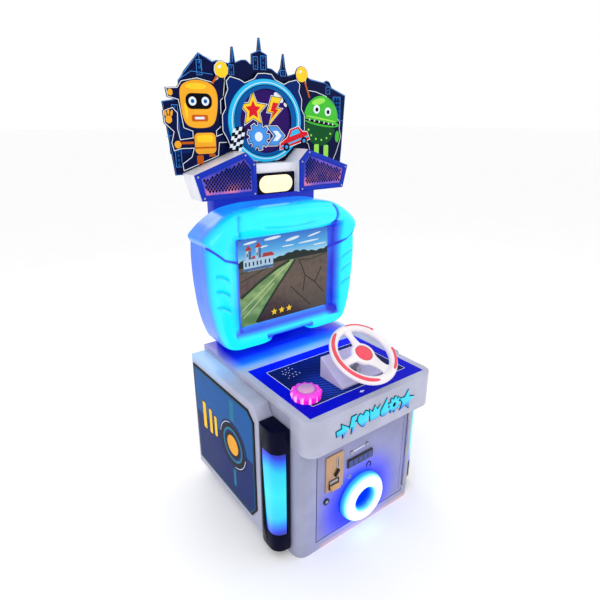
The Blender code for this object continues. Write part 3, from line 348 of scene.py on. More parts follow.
def make_panel():
    """Printed film: saturated blue border round dark art with a diagonal hatch, under a painted blue glow
    that is strongest on the border and towards the head.
    """
    shader = finish("panel_film", rgb(0, 6, 184), 0.4, relief=0.00002, shine=0.04)
    wave = shader.add("ShaderNodeTexWave", wave_type="BANDS", bands_direction="DIAGONAL")
    wave.inputs["Scale"].default_value = 44.0
    shader.feed(wave.inputs["Vector"], shader.place)
    strong = shader.span(shader.away((-0.082, -0.205, 0.529), (1, 1, 0)), 0.115, 0.01)
    hatch = shader.times(shader.span(wave.outputs["Fac"], 0.45, 0.6),
                         shader.plus(shader.times(strong, 0.75), 0.18))
    art_colour = shader.mix(hatch, rgb(3, 3, 34), rgb(40, 84, 214))
    inside_line = shader.times(shader.span(shader.off("X", 0.0035), 0.1945, 0.1925),
                               shader.span(shader.off("Y", -0.1455), 0.1235, 0.1215))
    # Painted light: a blue glow over the film, strongest on the border and towards the head behind the
    # panel.
    glow = shader.plus(shader.times(shader.along("Y", -0.1, 0.02), 0.3), 0.12)
    border = shader.math("SUBTRACT", 1.0, shader.times(inside_line, 0.85))
    return shader.set(Base_Color=shader.mix(inside_line, shader.tone, art_colour),
                      Emission_Color=rgb(0, 10, 230), Emission_Strength=shader.times(glow, border))


def make_mesh():
    """Violet speaker mesh whose colour drifts from navy to pink."""
    shader = finish("grille_violet", rgb(70, 30, 150), 0.35, shine=0.3)
    low = shader.along("Z", 1.15, 1.085)
    drift = shader.plus(shader.times(shader.span(shader.noise(11, 2), 0.35, 0.68), 0.55),
                        shader.times(low, 0.4))
    colour = shader.ramp(drift, (0.0, 36, 52, 176), (0.55, 112, 84, 196), (1.0, 226, 128, 160))
    return shader.set(Base_Color=colour)


def make_glyph():
    """Lit cyan, falling to deep blue at the lower ends."""
    shader = Shader("glyph_cyan")
    colour = shader.ramp(shader.along("Z", 0.436, 0.474, False), (0.0, 0, 40, 190),
                         (0.45, 0, 130, 235), (0.8, 0, 222, 246))
    shader.lights(rgb(0, 40, 60), colour, 0.92, 0.25, Coat_Weight=0.3, Coat_Roughness=0.06)
    return shader.bump(shader.noise(500, 1), 0.00003)


def make_sky():
    """Screen sky, deep above and pale at the horizon."""
    shader = Shader("screen_sky")
    colour = shader.ramp(shader.along("Z", HORIZON, 0.935, False), (0.0, 168, 220, 244),
                         (0.4, 74, 172, 234), (1.0, 20, 104, 206))
    return shader.lights(rgb(4, 8, 20), colour, 0.88)


def make_soil():
    """Screen ground: worn brown earth, darker towards the viewer."""
    shader = Shader("screen_soil")
    base = shader.ramp(shader.along("Z", 0.64, HORIZON, False), (0.0, 62, 50, 44),
                       (0.6, 98, 78, 66), (1.0, 84, 72, 62))
    worn = shader.times(shader.span(shader.noise(60, 4), 0.45, 0.7), 0.45)
    return shader.lights(rgb(6, 5, 4), shader.mix(worn, base, rgb(40, 32, 30)), 0.9)


def make_track():
    """Screen track: mossy green in broad patches."""
    shader = Shader("screen_track")
    patches = shader.span(shader.noise(16, 2, (1, 1, 1.4)), 0.34, 0.7)
    return shader.lights(rgb(4, 8, 4), shader.mix(patches, rgb(96, 136, 78), rgb(150, 184, 116)), 0.85)


SPECIAL = {"tray": make_tray, "door": make_door, "base": make_base, "pod": make_pod, "head": make_head,
           "lens": make_lens, "ring": make_ring, "button": make_button, "panel": make_panel,
           "mesh": make_mesh, "glyph": make_glyph, "sky": make_sky, "soil": make_soil, "track": make_track}
# Each finish: the material's name, its display colour, its roughness and what differs from the usual.
FINISHES = {
    "white": ("white_plastic", (228, 228, 238), 0.32, {"coat": 0.3}),
    "wheel": ("wheel_white", (240, 234, 238), 0.3, {"coat": 0.2, "relief": 0.00004}),
    "coral": ("coral_rubber", (236, 74, 92), 0.55, {"grain": 1500, "relief": 0.00008}),
    "cap": ("cap_pink", (206, 150, 196), 0.3, {"coat": 0.5}),
    "bracket": ("bracket_grey", (112, 104, 150), 0.42, {}),
    "lavender": ("bracket_lavender", (204, 197, 228), 0.34, {"coat": 0.1}),
    "lock": ("lock_dark", (58, 58, 72), 0.26, {"metal": 1.0}),
    "navy": ("navy_gloss", (1, 2, 34), 0.22, {"coat": 0.02, "shine": 0.05}),
    "black": ("black_plastic", (14, 14, 19), 0.52, {"grain": 1600, "relief": 0.0001, "shine": 0.3}),
    "column": ("column_blue", (0, 52, 206), 0.36, {"coat": 0.08, "shine": 0.2}),
    "frame": ("frame_blue", (0, 44, 178), 0.3, {"coat": 0.05, "shine": 0.16}),
    "steel": ("plain_steel", (176, 176, 182), 0.34, {"metal": 1.0, "stretch": (1, 1, 12)}),
    "brass": ("brushed_brass", (200, 160, 122), 0.34, {"metal": 0.75, "stretch": (14, 1, 1)}),
    "circuit": ("circuit_green", (14, 92, 48), 0.42, {"grain": 420, "relief": 0.0002}),
    "glass": ("dark_glass", (8, 10, 20), 0.1, {"coat": 0.3, "relief": 0.00001, "shine": 0.3}),
    "seam": ("seam_shadow", (22, 22, 70), 0.6, {"shine": 0.1}),
}
PRINTS = {
    "outline": ("print_outline", (4, 4, 14)), "sky_print": ("print_navy", (4, 14, 62)),
    "deep_blue": ("print_deep_blue", (0, 34, 104)), "mid_blue": ("print_mid_blue", (0, 86, 160)),
    "teal": ("print_teal", (14, 118, 156)), "orange": ("print_orange", (242, 170, 44)),
    "amber": ("print_amber", (255, 206, 44)), "rust": ("print_rust", (196, 92, 20)),
    "green": ("print_green", (70, 190, 56)), "lime": ("print_lime", (156, 232, 92)),
    "forest": ("print_forest", (16, 84, 40)), "red": ("print_red", (214, 30, 44)),
    "purple": ("print_purple", (44, 14, 96)), "cloth": ("speaker_cloth", (8, 8, 44)),
}
# Each lit surface: the material's name, its display colour and its strength.
LIT = {
    "line_blue": ("print_light_blue", (64, 150, 240), 0.3),
    "ring_cyan": ("print_cyan", (30, 190, 245), 0.35), "pale": ("print_white", (236, 244, 255), 0.3),
    "warm": ("lamp_warm", (255, 240, 196), 1.25),
    "cup": ("cup_blue", (0, 60, 255), 0.8), "digits": ("digits_blue", (66, 84, 150), 0.4),
    "cloud": ("screen_cloud", (226, 240, 250), 0.8), "trees": ("screen_trees", (24, 40, 36), 0.75),
    "crack": ("screen_crack", (46, 38, 34), 0.7), "house": ("screen_house", (176, 206, 232), 0.8),
    "roof": ("screen_roof", (176, 54, 50), 0.75), "marks": ("screen_marks", (255, 214, 60), 0.85),
    "brick": ("screen_brick", (70, 104, 150), 0.75), "verge": ("screen_verge", (34, 56, 36), 0.75),
    "sheen": ("screen_sheen", (188, 208, 150), 0.8),
}


def make_materials():
    """Every material of the cabinet, by a short name."""
    made = {key: make() for key, make in SPECIAL.items()}
    for key, (name, colour, rough, more) in FINISHES.items():
        made[key] = finish(name, rgb(*colour), rough, **more)
    for key, (name, colour) in PRINTS.items():
        made[key] = finish(name, rgb(*colour), 0.34, relief=0.00002, shine=0.06)
    for key, (name, colour, strength) in LIT.items():
        made[key] = lit(name, rgb(*colour), strength)
    return {key: shader.material for key, shader in made.items()}


M = make_materials()


# ---------------------------------------------------------------- flat outlines
def arc(x, y, radius, start, end, steps=24):
    """Points along an arc between two directions in degrees."""
    return [(x + radius * math.cos(math.radians(start + (end - start) * i / steps)),
             y + radius * math.sin(math.radians(start + (end - start) * i / steps)))
            for i in range(steps + 1)]


def circle(x, y, radius, steps=48):
    """Closed circle."""
    return arc(x, y, radius, 0, 360, steps)[:-1]


def ellipse(x, y, wide, high, tilt=0, steps=40):
    """Ellipse of two half widths, tilted in degrees."""
    turn = math.radians(tilt)
    return [(x + a * math.cos(turn) - b * math.sin(turn), y + a * math.sin(turn) + b * math.cos(turn))
            for a, b in ((wide * math.cos(t), high * math.sin(t))
                         for t in (2 * math.pi * i / steps for i in range(steps)))]


def panel(x0, x1, y0, y1, r=0.0, steps=5):
    """Rectangle, its corners rounded by r."""
    if not r:
        return [(x0, y0), (x1, y0), (x1, y1), (x0, y1)]
    return (arc(x1 - r, y0 + r, r, -90, 0, steps) + arc(x1 - r, y1 - r, r, 0, 90, steps)
            + arc(x0 + r, y1 - r, r, 90, 180, steps) + arc(x0 + r, y0 + r, r, 180, 270, steps))


def star(x, y, tip, root, points=5, turn=90):
    """Star between two radii, one point at the direction turn."""
    return [(x + (tip, root)[i % 2] * math.cos(math.radians(turn + 180 * i / points)),
             y + (tip, root)[i % 2] * math.sin(math.radians(turn + 180 * i / points)))
            for i in range(2 * points)]


def cog(x, y, tip, root, teeth=9):
    """Toothed wheel between two radii."""
    points = []
    for i in range(teeth):
        middle = 360 * i / teeth
        for radius, offset in ((root, -0.3), (tip, -0.18), (tip, 0.18), (root, 0.3)):
            angle = math.radians(middle + offset * 360 / teeth)
            points.append((x + radius * math.cos(angle), y + radius * math.sin(angle)))
    return points


def rounded_line(points, count=5):
    """Closed smooth line through the given points."""
    line, size = [], len(points)
    for i in range(size):
        a, b, c, d = (Vector(points[(i + k) % size]) for k in (-1, 0, 1, 2))
        for step in range(count):
            t = step / count
            line.append(tuple(0.5 * (2 * b + (c - a) * t + (2 * a - 5 * b + 4 * c - d) * t * t
                                     + (3 * b - a - 3 * c + d) * t ** 3)))
    return line


def shrunk(outline, distance):
    """Outline moved inwards, or outwards by a negative distance."""
    count = len(outline)
    area = sum(outline[i - 1][0] * outline[i][1] - outline[i][0] * outline[i - 1][1] for i in range(count))
    points = []
    for i, point in enumerate(outline):
        before = (Vector(point) - Vector(outline[i - 1])).normalized()
        after = (Vector(outline[(i + 1) % count]) - Vector(point)).normalized()
        mitre = Vector((-before.y - after.y, before.x + after.x)) * math.copysign(1.0, area)
        mitre *= distance / max(0.35, 1 + before.dot(after))
        points.append((point[0] + mitre.x, point[1] + mitre.y))
    return points


def stroke(points, width):
    """Outline of a line of even width through the points."""
    left, right = [], []
    for i, point in enumerate(points):
        ahead = Vector(points[min(i + 1, len(points) - 1)]) - Vector(points[max(i - 1, 0)])
        across = Vector((-ahead.y, ahead.x)).normalized() * width / 2
        left.append((point[0] + across.x, point[1] + across.y))
        right.append((point[0] - across.x, point[1] - across.y))
    return left + right[::-1]


def cad_outline(node):
    """Outline of a CAD board's front face, as x and z pairs in order."""
    build = bmesh.new()
    build.from_mesh(frame["nodes"][node].data)
    bmesh.ops.remove_doubles(build, verts=build.verts, dist=1e-5)
    faces = {face for face in build.faces if face.normal.y < -0.99}
    rim = [edge for edge in build.edges if sum(face in faces for face in edge.link_faces) == 1]
    start = rim[0].verts[0]
    loop, here, last = [], start, None
    while not loop or here is not start:
        loop.append((here.co.x, here.co.z))
        last = next(edge for edge in rim if here in edge.verts and edge is not last)
        here = last.other_vert(here)
    build.free()
    return loop


def frame_line(outline, width):
    """A line just inside an outline, as the outline and its hole."""
    return [outline, shrunk(outline, width)]


def turned_flat(outline, x, y, turn, size=1.0):
    """Outline drawn about the origin, scaled, turned and moved."""
    angle = math.radians(turn)
    return [(x + size * (a * math.cos(angle) - b * math.sin(angle)),
             y + size * (a * math.sin(angle) + b * math.cos(angle))) for a, b in outline]


# ---------------------------------------------------------------- solids
def front(y):
    """A flat shape's x and y become the cabinet's x and z, and it grows towards the player."""
    return Matrix(((1, 0, 0, 0), (0, 0, -1, y), (0, 1, 0, 0), (0, 0, 0, 1)))


def side(sign, x):
    """A flat shape's x and y become the cabinet's y and z, and it grows outwards."""
    return Matrix(((0, 0, sign, sign * x), (1, 0, 0, 0), (0, 1, 0, 0), (0, 0, 0, 1)))


def up(z):
    """Lift by z, for shapes that lie flat."""
    return Matrix.Translation((0, 0, z))


WHEEL_PLACE = Matrix.Translation(WHEEL) @ Matrix.Rotation(TILT, 4, "X")


def mesh_of(build):
    """Finished mesh of a bmesh, which is freed."""
    mesh = bpy.data.meshes.new("shape")
    build.to_mesh(mesh)
    build.free()
    return mesh


def plate(outlines, depth, place, bevel=0.0):
    """Plate of one outer outline, with any further ones inside it as holes."""
    curve = bpy.data.curves.new("outline", "CURVE")
    curve.dimensions, curve.fill_mode = "2D", "BOTH"
    curve.extrude = depth / 2 - bevel
    curve.bevel_depth, curve.bevel_resolution, curve.offset = bevel, 2, -bevel
    for outline in outlines:
        line = curve.splines.new("POLY")
        line.points.add(len(outline) - 1)
        line.use_cyclic_u = True
        for point, (x, y) in zip(line.points, outline):
            point.co = (x, y, 0, 1)
    item = bpy.data.objects.new("outline", curve)
    mesh = bpy.data.meshes.new_from_object(item)
    bpy.data.objects.remove(item)
    bpy.data.curves.remove(curve)
    build = bmesh.new()
    build.from_mesh(mesh)
    bmesh.ops.remove_doubles(build, verts=build.verts, dist=1e-6)
    bmesh.ops.transform(build, matrix=place @ up(depth / 2), verts=build.verts)
    bmesh.ops.recalc_face_normals(build, faces=build.faces)
    bpy.data.meshes.remove(mesh)
    return mesh_of(build)


def joined(meshes):
    """One mesh of several, which are removed."""
    build = bmesh.new()
    for mesh in meshes:
        build.from_mesh(mesh)
        bpy.data.meshes.remove(mesh)
    return mesh_of(build)


def grid(rows, around=True, ends=False, ring=False):
    """Surface over rows of points. around closes each row, ring joins the last row to the first."""
    build = bmesh.new()
    points = [[build.verts.new(point) for point in row] for row in rows]
    for i in range(len(rows) - (0 if ring else 1)):
        here, there = points[i], points[(i + 1) % len(rows)]
        for j in range(len(here) - (0 if around else 1)):
            k = (j + 1) % len(here)
            build.faces.new((here[j], here[k], there[k], there[j]))
    if ends:
        build.faces.new(points[0])
        build.faces.new(points[-1])
    bmesh.ops.remove_doubles(build, verts=build.verts, dist=1e-6)
    bmesh.ops.recalc_face_normals(build, faces=build.faces)
    return mesh_of(build)


def turned(profile, place, steps=64, ring=True, lobes=0, lobe_depth=0.0):
    """Turned shape from radius and height pairs, its wide rows scalloped if it has lobes."""
    rows = []
    for radius, height, *scallop in profile:
        depth = scallop[0] * lobe_depth if scallop else 0.0
        rows.append([place @ Vector((
            (radius + depth * math.cos(lobes * a)) * math.cos(a),
            (radius + depth * math.cos(lobes * a)) * math.sin(a), height))
            for a in (2 * math.pi * i / steps for i in range(steps))])
    return grid(rows, ring=ring)


def changed(mesh, *modifiers):
    """Copy of a mesh after modifiers, each a type and its settings."""
    item = bpy.data.objects.new("work", mesh)
    bpy.context.scene.collection.objects.link(item)
    for kind, settings in modifiers:
        modifier = item.modifiers.new(kind.lower(), kind)
        for key, value in settings.items():
            setattr(modifier, key, value)
    bpy.context.view_layer.update()
    result = bpy.data.meshes.new_from_object(item.evaluated_get(bpy.context.evaluated_depsgraph_get()))
    bpy.data.objects.remove(item)
    return result


def piece(name, mesh, material, body="cabinet", stands_for=(), slot=None, smooth=35):
    """Named object that rides on a body. Its surface is smooth where faces meet flatter than smooth."""
    item = bpy.data.objects.new(name, mesh)
    bpy.context.scene.collection.objects.link(item)
    mesh.materials.clear()
    mesh.materials.append(M[material])
    for polygon in mesh.polygons:
        polygon.use_smooth = True
        polygon.material_index = 0
    mesh.set_sharp_from_angle(angle=math.radians(smooth))
    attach(item, body)
    if stands_for:
        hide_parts(*stands_for)
        slot = slot or SLOT_OF[stands_for[0]]
    return item


def art(name, shapes, place, depth, material, body="cabinet", bevel=0.0, **more):
    """Flat shapes of one material, each a list of outlines, as one piece."""
    return piece(name, joined([plate(shape, depth, place, bevel) for shape in shapes]), material, body,
                 **more)


def flat(name, shapes, y, material, depth=0.0003, body="cabinet", bevel=0.0):
    """Flat shapes that lie on the plane at y and face the player."""
    return art(name, shapes, front(y), depth, material, body, bevel)


def refined(node, material, bevel=0.0012, segments=2, **more):
    """Copy of a CAD node with its sharp edges eased, shown instead of it."""
    source = frame["nodes"][node]
    build = bmesh.new()
    build.from_mesh(source.data)
    bmesh.ops.remove_doubles(build, verts=build.verts, dist=1e-5)
    bmesh.ops.dissolve_limit(build, angle_limit=math.radians(0.6), verts=build.verts, edges=build.edges)
    sharp = [edge for edge in build.edges
             if len(edge.link_faces) == 2 and edge.calc_face_angle(0.0) > math.radians(28)]
    bmesh.ops.bevel(build, geom=sharp, offset=bevel, segments=segments, profile=0.6, affect="EDGES",
                    clamp_overlap=True)
    return piece(f"{node}_eased", mesh_of(build), material, source["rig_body"], (node,), **more)


def paint(nodes, material):
    """Give CAD nodes that stay in view a finished material."""
    for name in nodes:
        data = frame["nodes"][name].data
        data.materials.clear()
        data.materials.append(M[material])


def screws(name, places, place, radius=0.0036, material="steel", body="cabinet"):
    """Round screw heads with a shallow dished middle, at points of one face."""
    meshes = []
    for x, y in places:
        head = place @ Matrix.Translation((x, y, 0))
        meshes.append(turned([(0, 0.0006), (radius * 0.35, 0.0012), (radius * 0.75, 0.0013),
                              (radius, 0.0006), (radius, -0.0002), (0, -0.0002)], head, 20, ring=False))
    return piece(name, joined(meshes), material, body)


# ---------------------------------------------------------------- lower cabinet
def cabinet_body():
    """Carcass, pods, tray and column with eased edges."""
    refined("base_cabinet", "base", 0.0018)
    refined("console_tray", "tray", 0.0035, 3)
    refined("back_column", "column", 0.002)
    for name in ("left", "right"):
        refined(f"side_pod_{name}", "pod", 0.003, 3)
    paint(["control_panel"], "panel")


def side_art():
    """Printed plates on both pods: border, two blue fields, a target and three slots."""
    outline = [(0.275, 0.478), (-0.104, 0.481), (-0.138, 0.45), (-0.1385, 0.118), (-0.107, 0.076),
               (0.27, 0.08)]
    inner, line = shrunk(outline, 0.0115), 0.295
    back, ahead = inner[0][0], inner[2][0]
    upper = inner[:3] + [(ahead, line), (back, line)]
    lower = [(back, line), (ahead, line)] + inner[3:]
    middle = (0.002, 0.288)
    slots = [(0.12, 0.255, 0.335, 0.018), (0.157, 0.247, 0.345, 0.02), (0.204, 0.243, 0.352, 0.024)]
    for name, sign in (("left", -1), ("right", 1)):
        paint([f"side_graphic_{name}"], "outline")

        def layer(kind, shapes, material, level):
            art(f"side_{kind}_{name}", shapes, side(sign, GRAPHIC_FACE + 0.00015 * level), 0.00015, material)

        layer("upper", [[upper]], "mid_blue", 0)
        layer("lower", [[lower]], "deep_blue", 0)
        layer("trim", [frame_line(shrunk(outline, 0.0085), 0.0022)], "teal", 1)
        layer("light", [[panel(-0.015, 0.01, 0.385, 0.46)], [panel(-0.01, 0.006, 0.125, 0.192)]], "teal", 1)
        layer("rim", [[circle(*middle, 0.09), circle(*middle, 0.0865)],
                      [circle(*middle, 0.078), circle(*middle, 0.063)],
                      [circle(*middle, 0.047), circle(*middle, 0.036)]], "outline", 2)
        layer("band", [[circle(*middle, 0.0855), circle(*middle, 0.078)],
                       [circle(*middle, 0.055), circle(*middle, 0.047)]], "deep_blue", 2)
        layer("teal_ring", [[circle(*middle, 0.063), circle(*middle, 0.055)]], "teal", 2)
        shine = [arc(*middle, 0.0835, a, b, 14) + arc(*middle, 0.0815, b, a, 14)
                 for a, b in ((10, 80), (190, 262))]
        layer("shine", [[line] for line in shine], "pale", 3)
        layer("disc", [[circle(*middle, 0.036)]], "orange", 2)
        layer("slot_edges", [[panel(y - w / 2 - 0.004, y + w / 2 + 0.004, a - 0.004, b + 0.004, 0.008)]
                             for y, a, b, w in slots], "outline", 1)
        layer("slots", [[panel(y - w / 2, y + w / 2, a, b, 0.005)] for y, a, b, w in slots], "amber", 2)


def lamp_posts():
    """Gloss housings with lit curved lenses."""
    for name in ("left", "right"):
        refined(f"lamp_housing_{name}", "navy", 0.0022, 3)
        refined(f"lamp_lens_{name}", "lens", 0.0009)


# ---------------------------------------------------------------- console
def panel_art():
    """Line work, a splash of marks and an arrow on the printed panel."""
    border = panel(-0.19, 0.197, -0.268, -0.023, 0.004)
    art("panel_line", [frame_line(border, 0.0016)], up(PANEL_TOP), 0.00012, "pale")
    marks = []
    for i in range(16):
        x, y = -0.15 + 0.0037 * (i * 5 % 14), -0.095 + 0.004 * (i * 7 % 15)
        marks.append([ellipse(x, y, 0.0022 + 0.0005 * (i % 3), 0.0013, 23 * i, 10)])
    art("panel_splash", marks, up(PANEL_TOP), 0.00012, "pale")
    arrow = [(-0.008, 0), (0.002, 0.006), (0.002, 0.002), (0.01, 0.002), (0.01, -0.002), (0.002, -0.002),
             (0.002, -0.006)]
    art("panel_arrow", [[turned_flat(arrow, -0.02, -0.29, 0)]], up(PANEL_TOP), 0.00012, "pale")
    paint(["button_switch", "sensor_body"], "black")


def apron_glyphs():
    """Seven raised, lit shapes on the apron: arrow, bolt, heart, crown, drop, cog and star."""
    arrow = [(-0.022, -0.008), (-0.002, -0.008), (-0.002, -0.022), (0.021, 0), (-0.002, 0.022),
             (-0.002, 0.008), (-0.022, 0.008)]
    heart = rounded_line([(0, -0.026), (0.019, -0.003), (0.02, 0.013), (0.01, 0.021), (0, 0.012),
                          (-0.01, 0.021), (-0.02, 0.013), (-0.019, -0.003)])
    bolt = [(-0.004, 0.026), (0.012, 0.026), (0.004, 0.005), (0.013, 0.005), (-0.008, -0.028),
            (-0.002, -0.005), (-0.012, -0.005)]
    crown = [(-0.017, -0.02), (0.017, -0.02), (0.02, 0.018), (0.009, 0.006), (0, 0.023), (-0.009, 0.006),
             (-0.02, 0.018)]
    drop = [(0, 0.03)] + arc(0, -0.009, 0.015, 28, -208, 18)
    gear, spark = cog(0, 0, 0.0255, 0.0185), star(0, 0, 0.033, 0.015)
    shapes = [(arrow, -0.136, 0.466, 8), (bolt, -0.097, 0.4715, 3), (heart, -0.056, 0.4745, 6),
              (crown, -0.01, 0.477, 0), (drop, 0.033, 0.4755, -12), (gear, 0.073, 0.474, 0),
              (spark, 0.128, 0.468, -12)]
    placed = [turned_flat(outline, x, z, turn, 1.06) for outline, x, z, turn in shapes]
    flat("glyph_backs", [[shrunk(outline, -0.0024)] for outline in placed], APRON_FACE, "sky_print", 0.0012)
    glyphs = [[outline] for outline in placed]
    glyphs[5].append(circle(0.073, 0.474, 0.008, 24))  # the hole through the cog
    flat("glyphs", glyphs, APRON_FACE - 0.0012, "glyph", 0.003, bevel=0.0007)


def start_button():
    """Scalloped, lit bezel and a plain cap that moves in it."""
    place = Matrix.Translation((BUTTON.x, BUTTON.y, 0))
    bezel = [(0.0292, 0.5572, 0), (0.033, 0.5572, 0.4), (0.0385, 0.555, 1), (0.043, 0.5505, 1),
             (0.0448, 0.545, 1), (0.045, 0.539, 0.8), (0.044, 0.533, 0.2), (0.044, 0.5299, 0),
             (0.0148, 0.5299, 0), (0.0148, 0.495, 0), (0.0112, 0.495, 0), (0.0112, 0.533, 0),
             (0.0262, 0.533, 0), (0.0262, 0.556, 0)]
    piece("button_flower", turned(bezel, place, 144, lobes=12, lobe_depth=0.003), "button",
          stands_for=("button_bezel",), smooth=50)
    cap = [(0, 0.564), (0.012, 0.5637), (0.019, 0.5622), (0.0235, 0.5596), (0.0255, 0.5562), (0.0257, 0.54),
           (0.0107, 0.54), (0.0107, 0.5), (0, 0.5)]
    piece("button_crown", turned(cap, place, 64, ring=False), "cap", "start_button", ("button_cap",),
          smooth=50)


def button_coil():
    """Spring between the bezel's floor and the cap's shoulder, which moves with the cap."""
    turns, per_turn, wire, radius = 3, 36, 0.0008, 0.0165
    foot, top, travel = 0.5333, 0.5397, 0.004
    steps = turns * per_turn
    rows = []
    for i in range(steps + 1):
        angle = 2 * math.pi * i / per_turn
        out = Vector((math.cos(angle), math.sin(angle), 0))
        middle = BUTTON + radius * out + Vector((0, 0, foot + wire + (top - foot - 2 * wire) * i / steps))
        rows.append([middle + wire * (math.cos(a) * out + Vector((0, 0, math.sin(a))))
                     for a in (2 * math.pi * j / 10 for j in range(10))])
    coil = piece("button_coil", grid(rows, ends=True), "steel", "start_button", ("button_spring",))
    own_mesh(coil)


def bracket():
    """White wedge under the wheel, its sunk face screwed down."""
    refined("wheel_bracket", "lavender", 0.001)
    slope = Matrix.Translation((WHEEL.x, -0.198, 0.564)) @ Matrix.Rotation(TILT, 4, "X")
    art("bracket_face", [[panel(-0.0785, 0.0785, -0.0525, 0.053, 0.004), circle(0, -0.0035, 0.027)]],
        slope @ up(0.00015), 0.0012, "bracket", bevel=0.0004)
    screws("bracket_screws", [(x, y) for x in (-0.066, 0.066) for y in (-0.042, 0.042)], slope @ up(0.0014))
    paint(["steering_bearing", "steering_shaft"], "steel")
    paint(["steering_gear"], "black")
    paint(["sensor_gear"], "white")


def rim_point(along, across, lift):
    """Point over the rim: along it in degrees, across its upper side in radians, lifted off it."""
    radius = RIM_RADIUS + (RIM_SECTION + lift) * math.sin(across)
    angle = math.radians(along)
    return WHEEL_PLACE @ Vector((radius * math.cos(angle), radius * math.sin(angle),
                                 RIM_FLATNESS * (RIM_SECTION + lift) * math.cos(across)))


def grip(name, start, end, lean, half, *node):
    """Soft strip that follows the rim's upper side and tapers at both ends."""
    rows, steps = [], max(10, round((end - start) / 2.5))
    for i in range(steps + 1):
        t = i / steps
        swell = math.sqrt(max(0.0, 1 - abs(2 * t - 1) ** 9)) * 0.94 + 0.06
        rows.append([rim_point(start + (end - start) * t, lean + half * swell * math.cos(a) / RIM_SECTION,
                               0.0002 + 0.0023 * swell * math.sin(a))
                     for a in (2 * math.pi * j / 14 for j in range(14))])
    piece(name, grid(rows, ends=True), "coral", "steering", node, "coral_rubber", smooth=60)


def ball(along, lean):
    """Flattened bead on the rim's upper side."""
    rows = [[rim_point(along + 3.6 * math.sin(t) * math.cos(a), lean + 0.42 * math.sin(t) * math.sin(a),
                       0.0003 + 0.0026 * math.cos(t)) for a in (2 * math.pi * j / 18 for j in range(18))]
            for t in (math.pi * i / 10 for i in range(11))]
    return grid(rows)


def spoke(direction, half):
    """Flat spoke, wider at the hub and the rim than between them."""
    spin = WHEEL_PLACE @ Matrix.Rotation(math.radians(direction), 4, "Z")
    rows = []
    for out, wide in ((0.024, 1.45), (0.04, 1.12), (0.052, 0.92), (0.066, 0.84), (0.078, 0.94),
                      (0.09, 1.35)):
        rows.append([spin @ Vector((out, half * wide * math.cos(a), -0.0022 + 0.0068 * math.sin(a)))
                     for a in (2 * math.pi * i / 20 for i in range(20))])
    return grid(rows, ends=True)


def wheel_core():
    """Rim, spokes and hub flowing into each other, with a seat for the cap."""
    section = [(RIM_RADIUS + RIM_SECTION * math.cos(a), RIM_FLATNESS * RIM_SECTION * math.sin(a))
               for a in (2 * math.pi * i / 24 for i in range(24))]
    hub = [(0, 0.0042), (0.0335, 0.0042), (0.0385, 0.0015), (0.0405, -0.004), (0.039, -0.0105),
           (0.026, -0.02), (0, -0.02)]
    parts = [turned(section, WHEEL_PLACE, 120), turned(hub, WHEEL_PLACE, 60, ring=False)]
    parts += [spoke(direction, half) for direction, half in SPOKES]
    core = changed(joined(parts), ("REMESH", {"mode": "VOXEL", "voxel_size": 0.002}),
                   ("SMOOTH", {"factor": 0.5, "iterations": 7}))
    seat = turned([(0, 0.02), (0.029, 0.02), (0.029, 0.0), (0, 0.0)], WHEEL_PLACE, 48, ring=False)
    cutter = bpy.data.objects.new("seat", seat)
    bpy.context.scene.collection.objects.link(cutter)
    core = changed(core, ("BOOLEAN", {"operation": "DIFFERENCE", "object": cutter, "solver": "EXACT"}))
    bpy.data.objects.remove(cutter)
    return core


def wheel():
    """Steering wheel with its soft strips and cap."""
    piece("wheel_body", wheel_core(), "wheel", "steering", ("steering_wheel",), smooth=50)
    grip("strip_left", 119, 260, 0.35, 0.0056, "wheel_grip_left")
    grip("strip_right", -60, -14, 0.25, 0.005, "wheel_grip_right")
    grip("strip_top", 39, 93, 0.42, 0.003)
    piece("strip_balls", joined([ball(39, 0.42), ball(-14, 0.25)]), "coral", "steering", smooth=60)
    cap = [(0, 0.0064), (0.014, 0.006), (0.022, 0.0048), (0.0268, 0.003), (0.0283, 0.0008), (0.0283, 0.0003),
           (0, 0.0003)]
    piece("cap_disc", turned(cap, WHEEL_PLACE, 56, ring=False), "coral", "steering", ("hub_cap",), smooth=50)


# ---------------------------------------------------------------- front door
def door():
    """Door, its lock and hinge, and what it carries."""
    for node, material, bevel in (("front_door", "door", 0.0012), ("front_lock_barrel", "lock", 0.0005),
                                  ("coin_acceptor", "brass", 0.0008), ("coin_return_lever", "black", 0.0008),
                                  ("coin_counter", "glass", 0.0005)):
        refined(node, material, bevel)
    paint(["front_lock_cam", "front_hinge", "coin_reject_flap", "coin_box"], "steel")
    coin_plate()
    door_fittings()


def coin_plate():
    """Coin slot, return cup with its lip, and screws on the brass plate."""
    face = DOOR_FACE - 0.0034
    slot = [panel(-0.1125, -0.0995, 0.29, 0.33, 0.003), panel(-0.1076, -0.1044, 0.296, 0.324)]
    cup = [panel(-0.142, -0.101, 0.2205, 0.255, 0.003), panel(-0.139, -0.104, 0.2255, 0.252)]
    flat("coin_slot_bezel", [slot], face, "steel", 0.0012, "front_door", 0.0004)
    flat("coin_cup_bezel", [cup], face, "black", 0.0014, "front_door", 0.0004)
    lip = [(0.0, 0.0), (-0.01, 0.0), (-0.0115, 0.003), (-0.003, 0.014), (0.0, 0.014)]
    rows = [[Vector((x, DOOR_FACE - 0.0048 + y, 0.2215 + z)) for y, z in lip] for x in (-0.1395, -0.1035)]
    piece("coin_lip", grid(rows, ends=True), "brass", "front_door")
    screws("coin_screws", [(x, z) for x in (-0.149, -0.088) for z in (0.219, 0.341)], front(face), 0.003,
           body="front_door")


